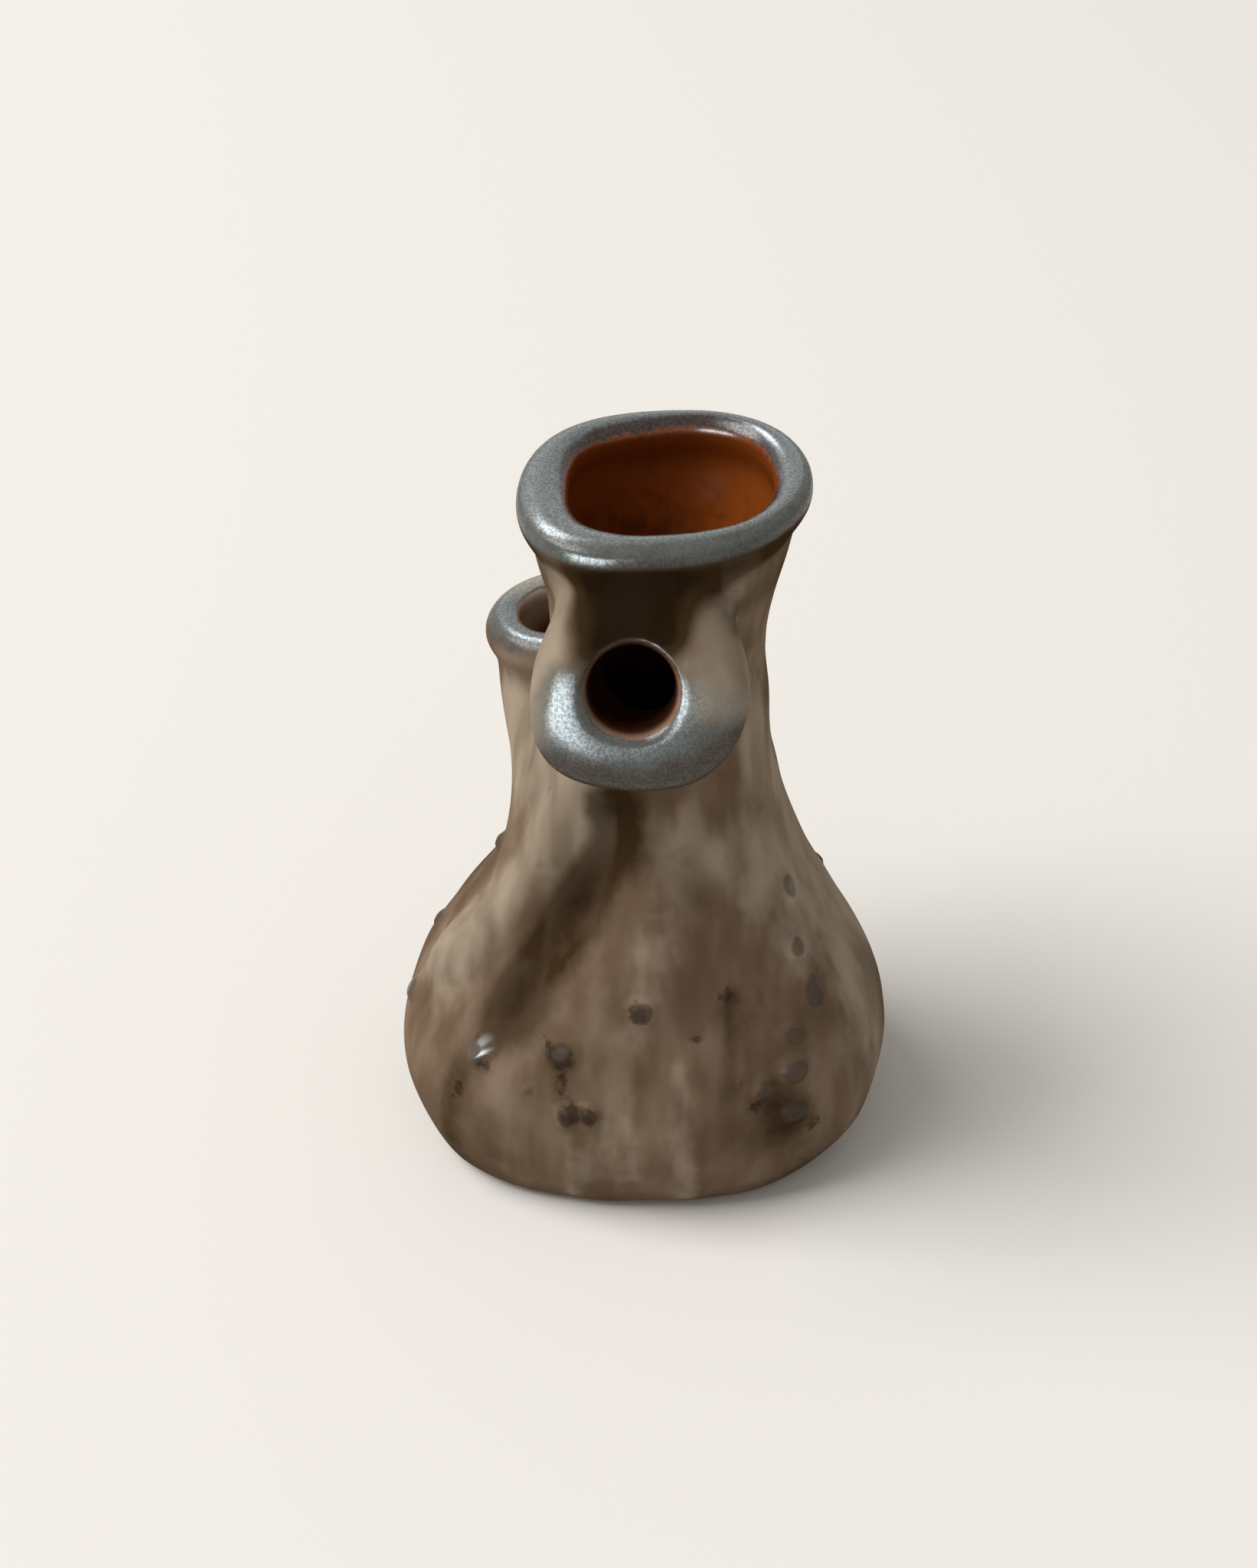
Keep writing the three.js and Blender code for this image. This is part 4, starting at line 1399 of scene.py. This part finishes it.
class VaseColours(bpy.types.PropertyGroup):
    """Colours of the fired glazes and clay."""

    taupe: colour_property("Taupe", "Matte glaze of the body", 114, 95, 78)
    # Beige also paints light, in the pale runs, and brown paints shade, in the clouds.
    beige: colour_property("Beige", "Thin glaze on ridges and in streaks", 168, 154, 136)
    brown: colour_property("Brown", "Dark runs in the glaze", 58, 43, 27)
    lip_grey: colour_property("Lip grey", "Satin glaze of the lips", 84, 88, 85)
    inside_red: colour_property("Inside red", "Glossy glaze of the hollow", 122, 60, 20)
    # Spot also paints the deepest shade, where the clouds are strongest.
    spot: colour_property("Spot", "Glaze pooled in small spots", 36, 24, 14)
    edge_dark: colour_property("Edge dark", "Dark edge where two glazes meet", 34, 15, 8)
    crumb_dark: colour_property("Crumb dark", "Glaze over the crumbs", 58, 47, 38)
    bare_clay: colour_property("Bare clay", "Unglazed clay under the foot", 156, 134, 112)
    floor: colour_property("Floor", "The pale floor", 232, 230, 226)


class Kiln:
    """Builds what the pieces share once: the cut clay and the glaze."""

    clay = None
    glazes = {}


def clay_of(context):
    if Kiln.clay is None:
        Kiln.clay = Clay(context.scene.vase_sizes)
    return Kiln.clay


class Maps:
    """What the finishes read: the masks from the mesh, noises and mixtures of both."""

    def __init__(self, g):
        place = g.node("ShaderNodeTexCoord", output="Object")
        mm = g.scaled(place, (1000.0, 1000.0, 1000.0))
        drawn_down = g.scaled(place, (1000.0, 1000.0, 260.0))
        self.inward, self.deep, self.lip = map(g.attribute, ("inward", "deep", "lip"))
        self.crumb, self.bead, self.cloud_and_painted_shade = map(g.attribute, ("crumb", "bead", "cloud_and_painted_shade"))
        self.run, self.spot, self.ring = map(g.attribute, ("run", "spot", "ring"))
        self.height = g.node("ShaderNodeSeparateXYZ", {}, {0: mm}, output=2)
        self.clouds = g.noise(mm, 0.055, detail=2.0)
        self.streaks = g.noise(drawn_down, 0.15, detail=2.5, roughness=0.5)
        self.fine = g.noise(mm, 0.45, detail=4.0)
        self.ragged = g.noise(mm, 0.9, roughness=0.6)
        self.grain = g.noise(mm, 2.6)
        self.waver = (self.streaks - 0.5) * 1.1 + (self.fine - 0.5) * 0.5
        # Dark clouds with painted shade, less where pale runs carry painted light.
        self.shade = self.cloud_and_painted_shade - self.run * 0.5 + self.waver * 0.6
        self.rough_in = self.inward + (self.fine - 0.5) * 1.2 + (self.ragged - 0.5) * 0.8


def matte_body(g, m, c):
    """Taupe glaze: pale where it is thin or light is painted on, brown in clouds and painted shade,
    almost black where it pooled or the painted shade is deepest.
    """
    drawn = m.streaks + m.clouds * 0.4
    light = g.ramp(drawn, 0.62, 0.95) * 0.3 + g.ramp(m.run + m.waver, 0.2, 1.1) * 0.75
    dark = g.ramp(drawn, 0.78, 0.5) * 0.35 + g.ramp(m.shade, 0.2, 0.9) * 0.8
    pooled = g.ramp(m.spot + (m.ragged - 0.5) * 1.5, 0.4, 0.9)
    body = g.blend(light * 0.8, c["taupe"], c["beige"])
    body = g.blend(dark, body, c["brown"])
    body = g.blend(g.ramp(m.shade, 0.9, 1.5) * 0.85, body, c["spot"])
    return g.blend(pooled * 0.6, body, c["spot"])


def grey_lip(g, m, c):
    """Grey glaze of the lips, with a little of the body's pale runs and painted light, and of its
    clouds and painted shade.
    """
    grey = g.blend(g.ramp(m.fine, 0.35, 0.7) * 0.35, c["lip_grey"], c["brown"])
    grey = g.blend(g.ramp(m.run + m.waver * 0.5, 0.3, 1.4) * 0.45, grey, c["beige"])
    return g.blend(g.ramp(m.shade, 0.2, 1.0) * 0.7, grey, c["brown"])


def red_inside(g, m, c):
    """Red-brown glaze of the hollow, darker further in, and pale where light is painted into the
    back bore.
    """
    red = g.blend(g.ramp(m.clouds * 0.6 + m.fine * 0.6, 0.55, 0.85) * 0.5, c["inside_red"],
                  c["edge_dark"])
    red = g.blend(g.ramp(m.run, 0.3, 1.4) * 0.8, red, c["beige"])
    return g.blend(m.deep * 0.94, red, c["edge_dark"])


def glaze(context, name):
    """The vase's glaze. It reads where each finish lies from the piece's own attributes."""
    if name in Kiln.glazes:
        return Kiln.glazes[name]
    c = {key: (*getattr(context.scene.vase_colours, key), 1.0)
         for key in VaseColours.__annotations__}
    material = bpy.data.materials.new(name)
    material.use_nodes = True
    g = Graph(material.node_tree)
    m = Maps(g)
    edge = g.ramp(m.rough_in, -0.5, 0.0)
    inside = g.ramp(m.rough_in, 0.4, 0.9)
    foot = g.ramp(m.height + (m.fine - 0.5) * 0.7, 0.55, 0.15)

    colour = g.blend(g.ramp(m.lip + (m.fine - 0.5) * 0.5, 0.15, 0.85), matte_body(g, m, c),
                     grey_lip(g, m, c))
    colour = g.blend(edge, colour, c["edge_dark"])
    colour = g.blend(inside, colour, red_inside(g, m, c))
    # The pale ring round each bore, with painted light on its lower half.
    colour = g.blend(m.ring * 0.4, colour, c["beige"])
    on_crumb = g.ramp(m.crumb + (m.fine - 0.5) * 0.4, 0.1, 0.6)
    colour = g.blend(on_crumb * 0.6, colour, c["crumb_dark"])
    colour = g.blend(foot, colour, c["bare_clay"])

    satin = g.ramp(m.lip, 0.4, 0.9)
    wet = edge - inside * 0.85
    roughness = (m.fine - 0.5) * 0.2 + 0.76 - satin * 0.46 - m.bead * 0.3
    roughness = roughness * (1 - wet) + wet * 0.22
    roughness = roughness * (1 - foot) + foot * 0.9
    sparkle = g.ramp(m.grain, 0.42, 0.58) * 0.5 + 0.45
    relief = m.grain * (satin * 0.7 + 0.15) + m.fine * 0.5 * (1 - edge)
    bump = g.node("ShaderNodeBump", {}, {"Strength": 0.35, "Distance": 0.0003, "Height": relief})
    fired = g.node("ShaderNodeBsdfPrincipled", {}, {
        "Base Color": colour, "Roughness": roughness, "Normal": bump,
        "Coat Weight": satin * sparkle + wet * 0.4 + m.bead,
        "Coat Roughness": 0.27, "Coat IOR": 1.5, "Specular IOR Level": 0.0,
    })
    g.node("ShaderNodeOutputMaterial", {}, {"Surface": fired})
    Kiln.glazes[name] = material
    return material


def make_piece(context, node, slot):
    """Makes one clay piece from the cut surface, and puts it in place of its CAD node."""
    clay = clay_of(context)
    points, triangles, normals = clay.piece(node)
    mesh = bpy.data.meshes.new("fired_" + node)
    mesh.vertices.add(len(points))
    mesh.vertices.foreach_set("co", (points * MM).ravel())
    mesh.loops.add(len(triangles) * 3)
    mesh.loops.foreach_set("vertex_index", triangles.ravel().astype(np.int32))
    mesh.polygons.add(len(triangles))
    mesh.polygons.foreach_set("loop_start", np.arange(0, len(triangles) * 3, 3, dtype=np.int32))
    mesh.update(calc_edges=True)
    mesh.polygons.foreach_set("use_smooth", np.ones(len(triangles), bool))
    mesh.normals_split_custom_set(normals)
    for name, values in glaze_masks(clay.pot, points).items():
        mesh.attributes.new(name, "FLOAT", "POINT").data.foreach_set("value", values)
    mesh.materials.append(glaze(context, slot))
    piece = bpy.data.objects.new("fired_" + node, mesh)
    context.scene.collection.objects.link(piece)
    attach(piece, BODY)
    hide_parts(node)
    return piece


class VASE_OT_floor_slab(bpy.types.Operator):
    """Make the floor slab with its rounded heel and bare foot"""

    bl_idname = "vase.floor_slab"
    bl_label = "Floor slab"

    def execute(self, context):
        make_piece(context, "floor_slab", "foot_clay")
        return {"FINISHED"}


class VASE_OT_walls(bpy.types.Operator):
    """Make the belly wall and the neck wall that stands on it"""

    bl_idname = "vase.walls"
    bl_label = "Belly and neck walls"

    def execute(self, context):
        for node in ("belly_wall", "neck_wall"):
            make_piece(context, node, "taupe_glaze")
        return {"FINISHED"}


class VASE_OT_main_lip(bpy.types.Operator):
    """Make the rolled coil round the main mouth"""

    bl_idname = "vase.main_lip"
    bl_label = "Main lip"

    def execute(self, context):
        make_piece(context, "main_lip", "lip_glaze")
        return {"FINISHED"}


class VASE_OT_spouts(bpy.types.Operator):
    """Make both side spouts, each a stem with a cushion lip round its bore"""

    bl_idname = "vase.spouts"
    bl_label = "Side spouts"

    def execute(self, context):
        for side in ("front", "back"):
            make_piece(context, side + "_spout", "taupe_glaze")
            make_piece(context, side + "_lip", "lip_glaze")
        return {"FINISHED"}


class VASE_OT_crumbs(bpy.types.Operator):
    """Make the clay crumbs that lie under the glaze"""

    bl_idname = "vase.crumbs"
    bl_label = "Clay crumbs"

    def execute(self, context):
        for number in range(1, len(CRUMBS) + 1):
            make_piece(context, f"crumb_{number:02d}", "crumb_glaze")
        return {"FINISHED"}


def aimed(scene, name, data, place, way):
    """An object at a place in metres, with its -Z axis along a way."""
    thing = bpy.data.objects.new(name, data)
    thing.location = place
    thing.rotation_euler = Vector(way).to_track_quat("-Z", "Y").to_euler()
    scene.collection.objects.link(thing)
    return thing


def pale_floor(scene):
    """A wide floor that takes the vase's shadow."""
    half = FLOOR_HALF
    mesh = bpy.data.meshes.new("floor")
    mesh.from_pydata([(-half, -half, 0), (half, -half, 0), (half, half, 0), (-half, half, 0)],
                     [], [(0, 1, 2, 3)])
    material = bpy.data.materials.new("floor_paint")
    material.use_nodes = True
    g = Graph(material.node_tree)
    paint = g.node("ShaderNodeBsdfPrincipled", {}, {
        "Base Color": (*scene.vase_colours.floor, 1.0), "Roughness": 0.9, "Specular IOR Level": 0.0,
    })
    g.node("ShaderNodeOutputMaterial", {}, {"Surface": paint})
    mesh.materials.append(material)
    floor = bpy.data.objects.new("floor", mesh)
    scene.collection.objects.link(floor)


def sky(scene):
    """A weak even light. Where it is seen or mirrored it has the floor's colour."""
    world = bpy.data.worlds.new("studio")
    world.use_nodes = True
    g = Graph(world.node_tree)
    light = g.node("ShaderNodeBackground", {}, {"Color": SKY_COLOUR, "Strength": SKY_STRENGTH})
    shown = g.node("ShaderNodeBackground", {}, {"Color": (*scene.vase_colours.floor, 1.0)})
    in_sight = (g.node("ShaderNodeLightPath", output="Is Camera Ray")
                + g.node("ShaderNodeLightPath", output="Is Glossy Ray")
                + g.node("ShaderNodeLightPath", output="Is Transmission Ray"))
    mixed = g.node("ShaderNodeMixShader", {}, {0: in_sight, 1: light, 2: shown})
    g.node("ShaderNodeOutputWorld", {}, {"Surface": mixed})
    scene.world = world


def soft_light(scene, name, azimuth, pitch, distance, size, watts, colour, lights_matte):
    """A square area light on a sphere round the vase's middle.

    Without lights_matte it shows in glossy glaze and leaves matte surfaces as they are.
    """
    lamp = bpy.data.lights.new(name, "AREA")
    lamp.size = size
    lamp.energy = watts
    lamp.color = colour
    outward = Vector(direction(azimuth, pitch))
    shown = aimed(scene, name, lamp, Vector(LAMPS_AIM) + outward * distance, -outward)
    shown.visible_diffuse = lights_matte
    shown.visible_camera = False


def camera_above(scene):
    """The camera, which looks down on the vase from the front."""
    camera = bpy.data.cameras.new("camera")
    camera.sensor_width = SENSOR
    camera.lens = FOCAL_PIXELS / PICTURE_PIXELS * SENSOR
    camera.clip_start = 0.01
    way = Vector(direction(90.0, -CAMERA_TILT))
    scene.camera = aimed(scene, "camera", camera, Vector(CAMERA_AIM) - way * CAMERA_DISTANCE, way)


class VASE_OT_stage(bpy.types.Operator):
    """Make the pale floor, the sky, the soft lights and the camera"""

    bl_idname = "vase.stage"
    bl_label = "Stage"

    def execute(self, context):
        scene = context.scene
        pale_floor(scene)
        sky(scene)
        for lamp in LAMPS:
            soft_light(scene, *lamp)
        camera_above(scene)
        scene.view_settings.view_transform = "Standard"
        return {"FINISHED"}


STEPS = (VASE_OT_stage, VASE_OT_floor_slab, VASE_OT_walls, VASE_OT_main_lip, VASE_OT_spouts,
         VASE_OT_crumbs)


class VASE_PT_maker(bpy.types.Panel):
    """Lists the vase's sizes, colours and making steps"""

    bl_idname = "VASE_PT_maker"
    bl_label = "Pottery Vase"
    bl_space_type = "VIEW_3D"
    bl_region_type = "UI"
    bl_category = "Vase"

    def draw(self, context):
        for group in (context.scene.vase_sizes, context.scene.vase_colours):
            for name in type(group).__annotations__:
                self.layout.prop(group, name)
        for step in STEPS:
            self.layout.operator(step.bl_idname)


CLASSES = (VaseSizes, VaseColours, *STEPS, VASE_PT_maker)


def register():
    for made in CLASSES:
        bpy.utils.register_class(made)
    bpy.types.Scene.vase_sizes = bpy.props.PointerProperty(type=VaseSizes)
    bpy.types.Scene.vase_colours = bpy.props.PointerProperty(type=VaseColours)


def unregister():
    del bpy.types.Scene.vase_colours
    del bpy.types.Scene.vase_sizes
    for made in reversed(CLASSES):
        bpy.utils.unregister_class(made)


def main():
    """Registers the add-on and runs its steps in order."""
    register()
    for step in STEPS:
        group, name = step.bl_idname.split(".")
        getattr(getattr(bpy.ops, group), name)()


if __name__ == "__main__":
    main()
